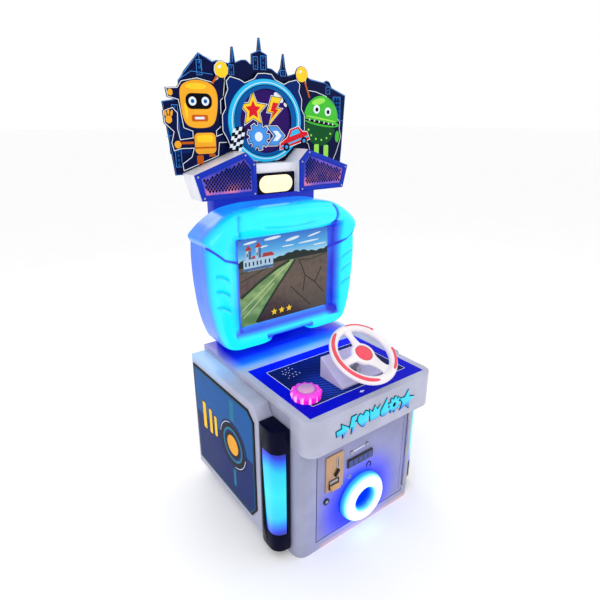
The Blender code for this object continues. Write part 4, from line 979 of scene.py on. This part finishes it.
def door_fittings():
    """Painted shadow line in the seam round the door, counter segments, and the small bosses, bar, bezel and
    hook.
    """
    digits = [[panel(-0.061 + 0.0205 * i, -0.045 + 0.0205 * i, 0.2715, 0.2915, 0.001)] for i in range(5)]
    dome = [(0, 0.005), (0.005, 0.0045), (0.0066, 0.002), (0.0068, 0.0), (0, 0.0)]
    bosses = [turned(dome, front(DOOR_FACE) @ Matrix.Translation((x, z, 0)), 28, ring=False)
              for x, z in ((-0.049, 0.319), (0.017, 0.323))]
    bar = stroke([(-0.041, 0.3192), (0.009, 0.3226)], 0.005)
    bezel = [circle(-0.0545, 0.228, radius, 28) for radius in (0.0075, 0.004)]
    hook = [(0.031 + 0.009 * math.cos(a), 0.235 + 0.011 * math.sin(a))
            for a in (math.radians(-60 + 24 * i) for i in range(12))]
    piece("door_bosses", joined(bosses), "steel", "front_door")
    for name, shapes, lift, material, depth, bevel in (
            # Painted shadow: a dark line in the gap round the door.
            ("door_seam_shadow", [frame_line(panel(-0.188, 0.206, 0.0342, 0.4038), 0.0022)], 0, "seam", 0.0002,
             0.0),
            ("counter_segments", digits, 0.006, "digits", 0.00035, 0.0),
            ("door_bar", [[bar]], 0, "white", 0.0018, 0.0004),
            ("small_bezel", [bezel], 0, "steel", 0.002, 0.0005),
            ("door_hook", [[stroke(hook, 0.003)]], 0, "black", 0.0022, 0.0005)):
        flat(name, shapes, DOOR_FACE - lift, material, depth, "front_door", bevel)


def prize_outlet():
    """Soft lit ring and the cup behind it."""
    middle, half, height = 0.062, 0.0265, 0.031
    crown = [(middle + half * math.cos(a), 0.0006 + height * math.sin(a) ** 0.92)
             for a in (math.radians(180 - 6 * i) for i in range(1, 30))]
    profile = [(0.0355, 0.0003)] + crown + [(0.0885, 0.0003)]
    place = front(DOOR_FACE) @ Matrix.Translation((0, RING.z, 0))
    piece("ring_lamp", turned(profile, place, 96), "ring", "front_door", ("prize_ring",), smooth=60)
    paint(["prize_cup"], "cup")


# ---------------------------------------------------------------- head
# Stations round the window, each from the window's edge over the rim and the crown to the outer edge (x, z).
FACE = [[(0.187, 0.862), (0.226, 0.876), (0.262, 0.8975), (0.2985, 0.9285)],
        [(0.187, 0.835), (0.232, 0.838), (0.266, 0.85), (0.3015, 0.868)],
        [(0.187, 0.8), (0.234, 0.8), (0.268, 0.8), (0.3, 0.8)],
        [(0.187, 0.76), (0.234, 0.757), (0.266, 0.755), (0.2965, 0.757)],
        [(0.187, 0.72), (0.234, 0.715), (0.263, 0.712), (0.292, 0.712)],
        [(0.187, 0.68), (0.233, 0.672), (0.258, 0.665), (0.283, 0.662)],
        [(0.187, 0.652), (0.229, 0.638), (0.25, 0.628), (0.271, 0.62)],
        [(0.187, 0.634), (0.216, 0.612), (0.236, 0.59), (0.253, 0.58)],
        [(0.17, 0.634), (0.19, 0.603), (0.205, 0.578), (0.222, 0.562)],
        [(0.145, 0.634), (0.15, 0.6), (0.155, 0.575), (0.165, 0.5595)],
        [(0.115, 0.634), (0.118, 0.6), (0.12, 0.574), (0.115, 0.5595)],
        [(0.095, 0.634), (0.095, 0.6), (0.092, 0.578), (0.088, 0.565)],
        [(0.075, 0.634), (0.075, 0.6), (0.075, 0.59), (0.075, 0.581)],
        [(0.04, 0.634), (0.04, 0.6), (0.04, 0.59), (0.04, 0.58)],
        [(0.0, 0.634), (0.0, 0.6), (0.0, 0.59), (0.0, 0.58)]]
HOOD = [[(0.187, 0.8626), (0.226, 0.8766), (0.262, 0.8981), (0.3, 0.9305)],
        [(0.187, 0.885), (0.23, 0.893), (0.262, 0.91), (0.3065, 0.948)],
        [(0.187, 0.905), (0.226, 0.913), (0.255, 0.925), (0.296, 0.962)],
        [(0.187, 0.935), (0.214, 0.945), (0.232, 0.957), (0.262, 0.99)],
        [(0.16, 0.935), (0.175, 0.95), (0.187, 0.975), (0.205, 1.021)],
        [(0.12, 0.935), (0.124, 0.948), (0.126, 0.983), (0.13, 1.034)],
        [(0.06, 0.935), (0.06, 0.948), (0.06, 0.985), (0.065, 1.036)],
        [(0.0, 0.935), (0.0, 0.948), (0.0, 0.985), (0.0, 1.036)]]
GILLS = (0.838, 0.788, 0.735)


def spline(values, per_span, closed=False):
    """Smooth run through vectors, with the end ones repeated."""
    out, last = [], len(values) - 1
    for i in range(last):
        a, b, c, d = (values[min(max(i + k, 0), last)] for k in (-1, 0, 1, 2))
        for step in range(per_span):
            t = step / per_span
            out.append(0.5 * (2 * b + (c - a) * t + (2 * a - 5 * b + 4 * c - d) * t * t
                              + (3 * b - a - 3 * c + d) * t ** 3))
    return out + [values[-1]]


def groove(x, z):
    """How deep a point lies in one of the head's grooves, from 0 to 1: the gills, the ears and the brow."""
    x, deep = abs(x), 0.0
    if 0.232 < x < 0.287:
        for level in GILLS:
            line = level - 0.025 * ((0.283 - x) / 0.048) ** 2
            ridge = math.exp(-((z - line) / 0.0056) ** 2)
            deep = max(deep, ridge * min(1, (x - 0.232) / 0.008, (0.287 - x) / 0.006))
    if 0.945 < z < 1.022:
        line = 0.187 + 0.014 * math.sin((z - 0.945) / 0.077 * math.pi)
        ridge = math.exp(-((x - line) / 0.0066) ** 2)
        deep = max(deep, ridge * min(1, (z - 0.945) / 0.01, (1.022 - z) / 0.01))
    if x < 0.115:
        ridge = 0.7 * math.exp(-((z - 0.963 - 0.7 * x * x) / 0.0036) ** 2)
        deep = max(deep, ridge * min(1, (0.115 - x) / 0.02))
    return deep


def shell(half, crown, rim_shade):
    """Half of the head lofted over its stations, mirrored, grooved and given a wall, with painted shade
    stored on its points.
    """
    stations = half + [[(-x, z) for x, z in row] for row in half[-2::-1]]
    lines = []
    for window, rim, top, outer in stations:
        mid = (top[0] * 0.35 + outer[0] * 0.65, top[1] * 0.35 + outer[1] * 0.65)
        points = ((window, 0.1316), (rim, 0.1075), (top, crown), (mid, crown + 0.0055),
                  (outer, crown + 0.034),
                  (outer, 0.18), (outer, 0.2392))
        lines.append([Vector((x, y, z)) for (x, z), y in points])
    smoothed = [spline([line[i] for line in lines], 12) for i in range(len(lines[0]))]
    rows = [spline([column[j] for column in smoothed], 14) for j in range(len(smoothed[0]))]
    for row in rows:
        for point in row:
            if point.y < crown + 0.03:
                point.y += 0.0042 * groove(point.x, point.z)
    mesh = changed(grid(rows, around=False), ("SOLIDIFY", {"thickness": 0.005, "offset": -1.0}))
    # Painted shade from 0 to 1: deeper blue towards the back of the outer wall, round the window, in the
    # chin's step and in the grooves, more in the ear grooves on the right; the hood's seam is a dark line.
    shade = mesh.attributes.new("shade", "FLOAT", "POINT")
    for item, vert in zip(shade.data, mesh.vertices):
        x, y, z = vert.co
        edge = max(0.0, min(1.0, (y - crown - 0.004) / 0.045)) * rim_shade
        ear_groove_shade = 0.8 if 0.165 < x < 0.23 and z > 0.94 else 0.3
        item.value = min(1.0, edge + window_shade_and_seam(x, z) * (y < 0.1325) + ear_groove_shade * groove(x, z) * (y < crown + 0.03))
    return mesh


def window_shade_and_seam(x, z):
    """Painted shade in deeper blue on the window's right and lower slopes, at its left edge and in the
    chin's step, with the dark line along the hood's seam.
    """
    # Painted shade: the bands right, below, left and step; the seam line is the dark joint between hood and
    # face.
    right = max(0.0, 1 - abs(x - 0.204) / 0.034) * (0.6 < z < 0.96)
    below = max(0.0, 1 - abs(z - 0.618) / 0.02) * (abs(x) < 0.22) * 0.55
    left = max(0.0, 1 - abs(x + 0.192) / 0.01) * (0.62 < z < 0.94) * 0.35
    step = max(0.0, 1 - abs(z - 0.586) / 0.014) * (abs(x) < 0.1)
    run = max(0.18, min(0.2985, abs(x)))
    seam = 0.8577 + (0.029 * (run - 0.18) / 0.07 if run < 0.25 else 0.029 + 0.0418 * (run - 0.25) / 0.0485)
    line = math.exp(-((z - seam) / 0.0042) ** 2) * (abs(x) > 0.184)
    return min(1.0, 0.72 * right + below + left + 0.8 * step + 0.9 * line)


def head():
    """Face and hood of the lit moulding."""
    piece("head_face", shell(FACE, 0.1, 0.64), "head", stands_for=("face_shell",), smooth=70)
    piece("head_hood", shell(HOOD, 0.093, 0.54), "head", stands_for=("hood_shell",), smooth=70)


def screen():
    """Picture on the display: sky, a house with red roofs, trees and a green track over bare ground."""
    paint(["monitor"], "glass")

    def layer(name, shapes, material, level):
        flat(f"screen_{name}", shapes, SCREEN_FACE - 0.00025 * level, material, 0.0002)

    def lines(name, routes, width, material, level):
        layer(name, [[stroke(route, width)] for route in routes], material, level)

    screen_sky(layer)
    screen_town(layer)
    screen_ground(layer, lines)


def screen_sky(layer):
    """Sky with streaks of cloud over a line of trees."""
    layer("sky", [[panel(SCREEN_LEFT, SCREEN_RIGHT, HORIZON, SCREEN_HIGH)]], "sky", 1)
    streaks = [(-0.14, 0.921, 0.026, 0.0036, 6), (-0.052, 0.925, 0.034, 0.0048, 4),
               (0.03, 0.912, 0.03, 0.0052, 9), (-0.095, 0.901, 0.024, 0.0028, 4),
               (0.1, 0.893, 0.046, 0.003, 2), (0.125, 0.915, 0.03, 0.003, 10),
               (0.01, 0.89, 0.026, 0.0022, 0), (0.15, 0.877, 0.03, 0.0024, 2)]
    layer("clouds", [[ellipse(*streak)] for streak in streaks], "cloud", 2)
    crowns = [(SCREEN_LEFT + (SCREEN_RIGHT - SCREEN_LEFT) * i / 60,
               0.8585 + 0.005 * abs(math.sin(0.55 * i)) + 0.006 * math.sin(0.21 * i)) for i in range(61)]
    layer("trees", [[[(SCREEN_LEFT, 0.84)] + crowns + [(SCREEN_RIGHT, 0.84)]]], "trees", 3)


def screen_town(layer):
    """House with two towers, red roofs and windows."""
    towers = [(-0.158, -0.138, 0.896), (-0.12, -0.1, 0.902)]
    walls = [[panel(-0.168, -0.052, 0.826, 0.866)]]
    walls += [[panel(a, b, 0.8662, top)] for a, b, top in towers]
    shades = [[panel((a + b) / 2, b, 0.8664, top - 0.001)] for a, b, top in towers]
    shades += [[panel(-0.168, -0.052, 0.827, 0.836)]]
    layer("walls", walls, "house", 4)
    layer("wall_shade", shades, "brick", 5)
    roofs = [[[(a - 0.004, top + 0.0002), (b + 0.004, top + 0.0002), ((a + b) / 2, top + 0.019)]]
             for a, b, top in towers]
    roofs += [[[(-0.136, 0.8664), (-0.1215, 0.8664), (-0.1245, 0.876), (-0.133, 0.876)]],
              [[(-0.097, 0.8664), (-0.047, 0.8664), (-0.055, 0.88), (-0.091, 0.88)]]]
    layer("roofs", roofs, "roof", 5)
    windows = [[panel(x, x + 0.0055, 0.843, 0.857)]
               for x in (-0.162, -0.149, -0.133, -0.118, -0.104, -0.086, -0.07)]
    windows += [[panel(a + 0.003, a + 0.007, 0.876, 0.886)] for a, b, top in towers]
    layer("windows", windows, "trees", 6)


def screen_ground(layer, lines):
    """Bare, cracked ground, the track across it and three marks in front."""
    left = SCREEN_LEFT
    layer("soil", [[panel(left, SCREEN_RIGHT, SCREEN_LOW, HORIZON)]], "soil", 1)
    track = [(left, SCREEN_LOW), (left, 0.736), (-0.11, 0.782), (-0.04, 0.816), (0.018, 0.838),
             (0.042, 0.838), (0.016, 0.806), (-0.034, 0.752), (-0.086, 0.69), (-0.124, SCREEN_LOW)]
    layer("track", [[track]], "track", 4)
    lines("verges", [[(left + 0.005, 0.737), (-0.11, 0.7815), (-0.04, 0.8155), (0.016, 0.837)],
                     [(-0.126, 0.638), (-0.086, 0.691), (-0.034, 0.753), (0.016, 0.807), (0.04, 0.837)]],
          0.0085, "verge", 5)
    lines("sheen", [[(left + 0.006, 0.692), (-0.1, 0.747), (-0.03, 0.796), (0.018, 0.83)],
                    [(left + 0.01, 0.664), (-0.11, 0.716), (-0.05, 0.766)]], 0.0034, "sheen", 5)
    lines("ruts", [[(left + 0.003, 0.792), (-0.12, 0.812), (-0.06, 0.832)],
                   [(0.052, 0.832), (0.115, 0.826), (0.184, 0.838)],
                   [(left + 0.003, 0.822), (-0.13, 0.832), (-0.075, 0.838)]], 0.0026, "verge", 4)
    lines("cracks", [[(0.06, 0.83), (0.085, 0.77), (0.075, 0.71)],
                     [(0.085, 0.77), (0.13, 0.735), (0.17, 0.69)],
                     [(0.02, 0.74), (0.06, 0.7), (0.11, 0.65)], [(0.13, 0.735), (0.16, 0.79)]],
          0.0038, "crack", 4)
    layer("marks", [[star(x, 0.66, 0.013, 0.0062)] for x in (-0.052, -0.02, 0.012)], "marks", 6)


# ---------------------------------------------------------------- marquee
def speakers():
    """Blue frames, violet lattice and white box."""
    refined("marquee_box", "white", 0.0014)
    for name, sign in (("left", -1), ("right", 1)):
        refined(f"speaker_frame_{name}", "frame", 0.0018, 3)
        half = [(0.087, 1.063), (0.28, 1.063), (0.301, 1.141), (0.124, 1.201), (0.087, 1.166)]
        outline = [(sign * x, z) for x, z in half]
        opening = shrunk(outline, 0.0168)
        piece(f"lattice_{name}", lattice(opening), "mesh", stands_for=(f"speaker_grille_{name}",))
        flat(f"cloth_{name}", [[opening]], 0.1686, "cloth", 0.0005)
        screws(f"frame_screws_{name}", shrunk(outline, 0.0082), front(0.1627), 0.0032)
        paint([f"speaker_driver_{name}"], "black")


def inside(x, y, outline):
    """Whether a point is in a closed outline."""
    hit = False
    for (x0, y0), (x1, y1) in zip(outline, outline[1:] + outline[:1]):
        if (y0 > y) != (y1 > y) and x < x0 + (x1 - x0) * (y - y0) / (y1 - y0):
            hit = not hit
    return hit


def lattice(outline, pitch=0.011, bar=0.0013):
    """Diamond openings cut through a thin plate of the given outline."""
    xs, ys = [p[0] for p in outline], [p[1] for p in outline]
    holes, row, y = [], 0, min(ys) + pitch
    while y < max(ys):
        x = min(xs) + (pitch if row % 2 else pitch / 2)
        while x < max(xs):
            half, rise = pitch / 2 - bar / 2, pitch * 0.62 - bar / 2
            diamond = [(x - half, y), (x, y - rise), (x + half, y), (x, y + rise)]
            if all(inside(px, py, shrunk(outline, 0.0015)) for px, py in diamond):
                holes.append(diamond)
            x += pitch
        y += pitch * 0.62
        row += 1
    return plate([outline] + holes, 0.0015, front(0.1679))


def marquee_lamp():
    """Dark bezel with a warm lens between the speakers."""
    refined("marquee_lamp", "navy", 0.0006)
    refined("marquee_lens", "warm", 0.0012)


def skyline():
    """Dark board with drawn towers, lit windows and a pale edge."""
    paint(["skyline_board"], "sky_print")
    towers = [(-0.32, -0.3, 1.16, 1.338), (-0.288, -0.262, 1.3, 1.4), (-0.232, -0.214, 1.42, 1.462),
              (-0.124, -0.106, 1.425, 1.454), (-0.036, -0.018, 1.445, 1.482), (-0.008, 0.012, 1.445, 1.486),
              (0.068, 0.09, 1.43, 1.448), (0.296, 0.332, 1.22, 1.372), (0.262, 0.282, 1.38, 1.404)]
    lines, windows = [], []
    for x0, x1, z0, z1 in towers:
        lines.append(frame_line(panel(x0, x1, z0, z1), 0.0014))
        columns, rows = max(1, int((x1 - x0) / 0.011)), max(1, int((z1 - z0) / 0.013))
        for i in range(columns):
            for j in range(rows):
                x = x0 + (x1 - x0) * (i + 0.5) / columns
                z = z0 + (z1 - z0) * (j + 0.5) / rows
                windows.append([panel(x - 0.0028, x + 0.0028, z - 0.0036, z + 0.0036)])
    glows = [[(-0.2, 1.2), (-0.336, 1.2), (-0.336, 1.29), (-0.29, 1.33), (-0.18, 1.34)],
             [(0.2, 1.2), (0.33, 1.2), (0.34, 1.33), (0.18, 1.34)]]
    flat("skyline_glow", [[glow] for glow in glows], SKYLINE_FACE, "deep_blue", 0.0002)
    roofs = [[(-0.291, 1.405), (-0.223, 1.478), (-0.168, 1.459)],
             [(-0.291, 1.405), (-0.25, 1.43), (-0.18, 1.424)], [(-0.223, 1.478), (-0.214, 1.424)],
             [(-0.344, 1.346), (-0.294, 1.353)], [(-0.0415, 1.489), (-0.0115, 1.5), (0.0165, 1.489)],
             [(-0.0115, 1.5), (-0.0115, 1.533)], [(0.082, 1.456), (0.0808, 1.493)],
             [(-0.109, 1.462), (-0.109, 1.501)],
             [(0.19, 1.424), (0.262, 1.414), (0.288, 1.399), (0.352, 1.376)],
             [(0.29, 1.3), (0.346, 1.29)], [(0.286, 1.25), (0.344, 1.236)], [(-0.344, 1.25), (-0.3, 1.254)]]
    lines += [[stroke(roof, 0.0013)] for roof in roofs]
    flat("tower_lines", lines, SKYLINE_FACE, "line_blue")
    flat("tower_windows", windows, SKYLINE_FACE, "mid_blue")
    edge = frame_line(shrunk(cad_outline("skyline_board"), 0.001), 0.001)
    flat("skyline_edge", [edge], SKYLINE_FACE - 0.0003, "line_blue", 0.0002)


def roundel():
    """Scalloped backing, a lit ring and a dark disc behind the emblem."""
    paint(["roundel_board"], "outline")
    half = [(0, 1.438), (0.028, 1.436), (0.042, 1.42), (0.075, 1.408), (0.092, 1.416), (0.128, 1.424),
            (0.144, 1.408), (0.14, 1.384), (0.152, 1.36), (0.15, 1.33), (0.163, 1.31), (0.164, 1.262),
            (0.15, 1.24), (0.14, 1.216), (0.106, 1.204), (0.078, 1.176), (0.045, 1.1625), (0, 1.161)]
    outline = half + [(-x, z) for x, z in half[-2:0:-1]]
    cx, cz = ROUNDEL

    def oval(radius, height=None):
        return ellipse(cx, cz, radius * RING_STRETCH, height or radius, 0, 72)

    disc = circle(cx, cz, 0.0996, 72)
    flat("backing_line", [frame_line(shrunk(outline, 0.0025), 0.0022)], ROUNDEL_FACE, "pale", 0.0004)
    flat("backing_field", [[shrunk(outline, 0.006), oval(0.129, 0.1255)]], ROUNDEL_FACE, "deep_blue")
    band = [(0.121, 0.0064), (0.1276, 0.005), (0.1284, 0.0004), (0.1084, 0.0004), (0.109, 0.005),
            (0.113, 0.0064)]
    place = front(ROUNDEL_FACE) @ Matrix.Translation((cx, cz, 0)) @ Matrix.Diagonal((RING_STRETCH, 1, 1, 1))
    piece("ring_band", turned(band, place, 96), "ring_cyan", smooth=40)
    flat("ring_line", [[oval(0.1188), oval(0.1168)]], RING_FACE - 0.0004, "pale")
    flat("ring_shade", [[oval(0.1094), disc]], RING_FACE, "mid_blue", 0.0004)
    flat("disc", [[disc]], ROUNDEL_FACE, "purple")
    flat("bubbles", [[ellipse(0.052, 1.364, 0.022, 0.011, -38)], [ellipse(0.079, 1.342, 0.008, 0.005, -45)]],
         ROUNDEL_FACE - 0.0005, "pale")
    emblem()
    car()
    flag()


def emblem():
    """A star and a bolt over a cog and a chevron, each on a dark back with a pale edge."""
    bolt = [(-0.008, 0.024), (0.014, 0.024), (0.004, 0.004), (0.016, 0.004), (-0.01, -0.028),
            (-0.003, -0.004), (-0.015, -0.004)]
    chevron = [(-0.026, 0.02), (-0.002, 0.02), (0.018, 0), (-0.002, -0.02), (-0.026, -0.02), (-0.008, 0)]
    star_at, cog_at = (-0.048, 1.325), (-0.03, 1.243)
    warm = [star(*star_at, 0.05, 0.024), turned_flat(bolt, 0.034, 1.324, -6, 1.7)]
    cool = [cog(*cog_at, 0.041, 0.0315), turned_flat(chevron, 0.046, 1.244, 0, 1.45)]
    cores = [star(*star_at, 0.029, 0.0145), turned_flat(bolt, 0.034, 1.324, -6, 1.0)]
    hubs = [circle(*cog_at, 0.015, 28), turned_flat(chevron, 0.047, 1.244, 0, 0.8)]
    for name, marks, lift, material, depth in (
            ("mark_backs", [shrunk(mark, -0.0042) for mark in warm + cool], 0.0006, "pale", 0.0003),
            ("mark_lines", [shrunk(mark, -0.002) for mark in warm + cool], 0.0009, "outline", 0.0003),
            ("marks_warm", warm, 0.0012, "amber", 0.0004), ("marks_cool", cool, 0.0012, "line_blue", 0.0004),
            ("mark_cores", cores, 0.0016, "red", 0.0003), ("mark_hubs", hubs, 0.0016, "pale", 0.0003)):
        flat(name, [[mark] for mark in marks], ROUNDEL_FACE - lift, material, depth)


def car():
    """Small red race car that laps over the ring."""
    def on_car(outline):
        return turned_flat(outline, 0.106, 1.238, 14, 1.35)

    shape = [(-0.046, -0.018), (-0.042, -0.004), (-0.018, 0.004), (-0.004, 0.02), (0.022, 0.021),
             (0.032, 0.006), (0.046, 0.002), (0.05, -0.018)]
    window = [(-0.011, 0.004), (0.0, 0.016), (0.019, 0.017), (0.024, 0.005)]
    stripe = [(-0.042, -0.01), (0.048, -0.007), (0.048, -0.011), (-0.043, -0.014)]
    axles = (-0.026, 0.031)
    flat("car_edge", [[shrunk(on_car(shape), -0.0022)]], RING_FACE - 0.0008, "pale")
    flat("car_body", [[on_car(shape)]], RING_FACE - 0.0011, "red", 0.0004)
    flat("car_tyres", [[on_car(circle(x, -0.017, 0.0098, 28))] for x in axles], RING_FACE - 0.0015,
         "outline",
         0.0004)
    flat("car_hubs", [[on_car(circle(x, -0.017, 0.0048, 20))] for x in axles], RING_FACE - 0.0019,
         "line_blue")
    flat("car_trim", [[on_car(window)], [on_car(stripe)]], RING_FACE - 0.0015, "ring_cyan")


def flag():
    """Waving chequered flag at the ring's lower left."""
    squares = {"outline": [], "pale": []}
    for i in range(4):
        for j in range(6):
            x = -0.146 + 0.0115 * i + 0.003 * j
            z = 1.2 + 0.0115 * j + 0.006 * math.sin(i * 1.1)
            square = [(x, z), (x + 0.0113, z + 0.001), (x + 0.0143, z + 0.0122), (x + 0.003, z + 0.0113)]
            squares[("outline", "pale")[(i + j) % 2]].append([square])
    for name, material in (("flag_pale", "pale"), ("flag_dark", "outline")):
        flat(name, squares[material], RING_FACE - 0.0008, material, 0.0004)


def robots():
    """Two printed robots, an orange one with a visor and a green one with a wide brim."""
    paint(["figure_left", "figure_right"], "sky_print")

    def layer(name, shapes, material, level):
        flat(f"robot_{name}", shapes, FIGURE_FACE - 0.0003 * level, material)

    for name in ("left", "right"):
        layer(f"edge_{name}", [frame_line(shrunk(cad_outline(f"figure_{name}"), 0.0012), 0.002)], "pale", 0)
    orange_robot(layer)
    green_robot(layer)


def orange_robot(layer):
    """Tall head with a visor, a waving three-fingered hand and a barrel body."""
    head_shape = rounded_line([(-0.293, 1.352), (-0.284, 1.392), (-0.234, 1.407), (-0.184, 1.392),
                               (-0.17, 1.352), (-0.186, 1.286), (-0.234, 1.272), (-0.28, 1.286)])
    fingers = [[ellipse(x, z, 0.0036, 0.0095, tilt, 16)] for x, z, tilt in
               ((-0.3415, 1.3135, 14), (-0.3325, 1.319, 0), (-0.323, 1.314, -14))]
    body = panel(-0.256, -0.184, 1.196, 1.258, 0.014)
    hand, elbow = ellipse(-0.333, 1.297, 0.01, 0.011), circle(-0.311, 1.226, 0.011, 24)
    ear_groove_shade = ellipse(-0.322, 1.371, 0.008, 0.009)
    layer("orange", [[head_shape], [body], [hand], [elbow], [ear_groove_shade]] + fingers, "orange", 0)
    layer("amber", [[ellipse(-0.24, 1.389, 0.034, 0.009)], [panel(-0.247, -0.193, 1.23, 1.251, 0.006)],
                    [circle(-0.152, 1.438, 0.0225, 32)], [ellipse(-0.276, 1.322, 0.005, 0.022, 6)]],
          "amber", 1)
    layer("visor", [[panel(-0.276, -0.19, 1.326, 1.37, 0.019)]], "outline", 1)
    layer("lights", [[circle(-0.254, 1.348, 0.0125, 24)], [circle(-0.212, 1.348, 0.0125, 24)],
                     [panel(-0.25, -0.218, 1.297, 1.304, 0.003)]], "pale", 2)
    layer("lenses", [[circle(x, 1.348, 0.0058, 20)] for x in (-0.254, -0.212)], "mid_blue", 3)
    layer("rust", [[panel(-0.26, -0.206, 1.291, 1.31, 0.006)], [panel(-0.252, -0.23, 1.166, 1.192, 0.004)],
                   [panel(-0.21, -0.188, 1.187, 1.1945, 0.002)], [panel(-0.256, -0.184, 1.212, 1.217)],
                   [stroke([(-0.26, 1.23), (-0.299, 1.23)], 0.007)]], "rust", 1)


def green_robot(layer):
    """Domed head over a wide, tilted brim, a dark bowl of a body and two short legs."""
    def tilted(outline):
        return turned_flat(outline, *ROBOT_AXIS, -9)

    layer("dome", [[tilted(arc(0, 0.008, 0.078, 2, 178, 26))]], "green", 0)
    layer("bowl", [[tilted(arc(0, -0.012, 0.07, 182, 358, 26))]], "forest", 0)
    layer("brim", [[tilted(ellipse(0, 0, 0.086, 0.015))]], "green", 1)
    layer("brim_line", [[tilted(ellipse(0, -0.003, 0.074, 0.005))]], "outline", 2)
    layer("teeth", [[tilted([(x - 0.004, -0.0035), (x + 0.004, -0.0035), (x, 0.0045)])]
                    for x in (-0.052, -0.03, -0.008, 0.014, 0.036, 0.056)], "pale", 3)
    legs = [[panel(0.208, 0.23, 1.172, 1.212, 0.005)], [panel(0.252, 0.274, 1.16, 1.208, 0.005)]]
    layer("lime", [[tilted(ellipse(-0.022, 0.064, 0.03, 0.01, 20))], [tilted(ellipse(0, 0.01, 0.07, 0.003))]]
          + legs, "lime", 2)
    layer("dome_lights", [[tilted(circle(x, 0.038, 0.0145, 24))] for x in (-0.026, 0.026)], "pale", 1)
    layer("dome_lenses", [[tilted(circle(x, 0.037, 0.007, 20))] for x in (-0.025, 0.027)], "outline", 2)
    layer("rivets", [[tilted(circle(0.054 * math.cos(a), -0.02 + 0.042 * math.sin(a), 0.0038, 16))]
                     for a in (math.radians(200 + 28 * i) for i in range(6))], "lime", 1)
    layer("hands", [[ellipse(0.316, 1.236, 0.01, 0.02)], [ellipse(0.174, 1.236, 0.008, 0.016)]], "green", 1)
    layer("bulb", [[circle(0.152, 1.438, 0.0235, 32)]], "amber", 1)
    layer("glints", [[ellipse(x, 1.446, 0.007, 0.004, 30, 16)] for x in (-0.158, 0.146)], "pale", 2)
    layer("stalks", [[stroke([(-0.186, 1.398), (-0.168, 1.42)], 0.006)],
                     [stroke([(0.186, 1.366), (0.165, 1.415)], 0.006)]], "rust", 2)


# ---------------------------------------------------------------- inside and rear
def service_parts():
    """Rear door, inlet, fan and the parts inside."""
    refined("rear_door", "pod", 0.001)
    refined("power_inlet", "black", 0.0008)
    refined("rocker_switch", "black", 0.0006)
    paint(["fan_housing", "fan_rotor"], "black")
    paint(["game_board"], "circuit")
    paint(["power_supply"], "steel")
    screws("inlet_screws", [(x, 0.054) for x in (0.1065, 0.1635)], rear(0.2935), 0.0022)
    screws("column_screws", [(x, z) for x in (-0.19, 0.19) for z in (0.56, 0.72, 0.88, 1.03)], rear(0.2892))


def rear(y):
    """A flat shape's x and y become the cabinet's x and z, and it grows backwards."""
    return Matrix(((1, 0, 0, 0), (0, 0, 1, y), (0, 1, 0, 0), (0, 0, 0, 1)))


# ---------------------------------------------------------------- stage
def stage():
    """Pale floor, soft studio light and the camera."""
    build = bmesh.new()
    bmesh.ops.create_grid(build, x_segments=8, y_segments=8, size=60.0)
    floor = bpy.data.objects.new("floor", mesh_of(build))
    bpy.context.scene.collection.objects.link(floor)
    floor.location.z = -0.0005
    ground = Shader("floor_pale")
    ground.set(Base_Color=ground.mix(ground.noise(3), rgb(250, 250, 252), rgb(254, 254, 255)),
               Roughness=0.55)
    floor.data.materials.append(ground.material)
    world = bpy.data.worlds.new("studio")
    world.use_nodes = True
    sky = world.node_tree.nodes["Background"]
    sky.inputs["Color"].default_value, sky.inputs["Strength"].default_value = (1, 1, 1, 1), 1.0
    bpy.context.scene.world = world
    light("key", (-1.9, -1.7, 2.6), (0, 0, 0.7), 1.8, 20, (1.0, 0.99, 0.97))
    light("fill", (2.0, -1.6, 1.7), (0, 0, 0.6), 1.8, 7, (0.95, 0.97, 1.0))
    light("back", (0.4, 2.4, 2.3), (0, 0, 0.9), 1.6, 14, (1.0, 1.0, 1.0))
    light("deck_glow", (0, 0.105, 0.56), (0, -0.02, 0.5), 0.16, 1.4, (0.02, 0.12, 1.0), False)
    light("door_glow", (0, -0.365, 0.126), (0, -0.288, 0.126), 0.12, 0.5, (0.05, 0.1, 1.0), False)
    camera = bpy.data.objects.new("camera", bpy.data.cameras.new("camera"))
    bpy.context.scene.collection.objects.link(camera)
    camera.location = (-0.926, -1.198, 1.302)
    camera.rotation_euler = (math.radians(69.36), 0, math.radians(-36.61))
    camera.data.sensor_width, camera.data.lens = 36.0, 29.06
    bpy.context.scene.camera = camera
    bpy.context.scene.view_settings.view_transform = "Standard"


def light(name, at, towards, size, power, colour, mirrored=True):
    """Square lamp aimed at a point. Gloss shows its reflection only if mirrored."""
    data = bpy.data.lights.new(name, "AREA")
    data.size, data.energy, data.color = size, power, colour
    item = bpy.data.objects.new(name, data)
    bpy.context.scene.collection.objects.link(item)
    item.visible_glossy = mirrored
    item.location = at
    item.rotation_euler = (Vector(towards) - Vector(at)).to_track_quat("-Z", "Y").to_euler()


# ---------------------------------------------------------------- build
for make in (cabinet_body, side_art, lamp_posts, panel_art, apron_glyphs, start_button, button_coil, bracket,
             wheel, door, prize_outlet, head, screen, speakers, marquee_lamp, skyline, roundel, robots,
             service_parts, stage):
    make()
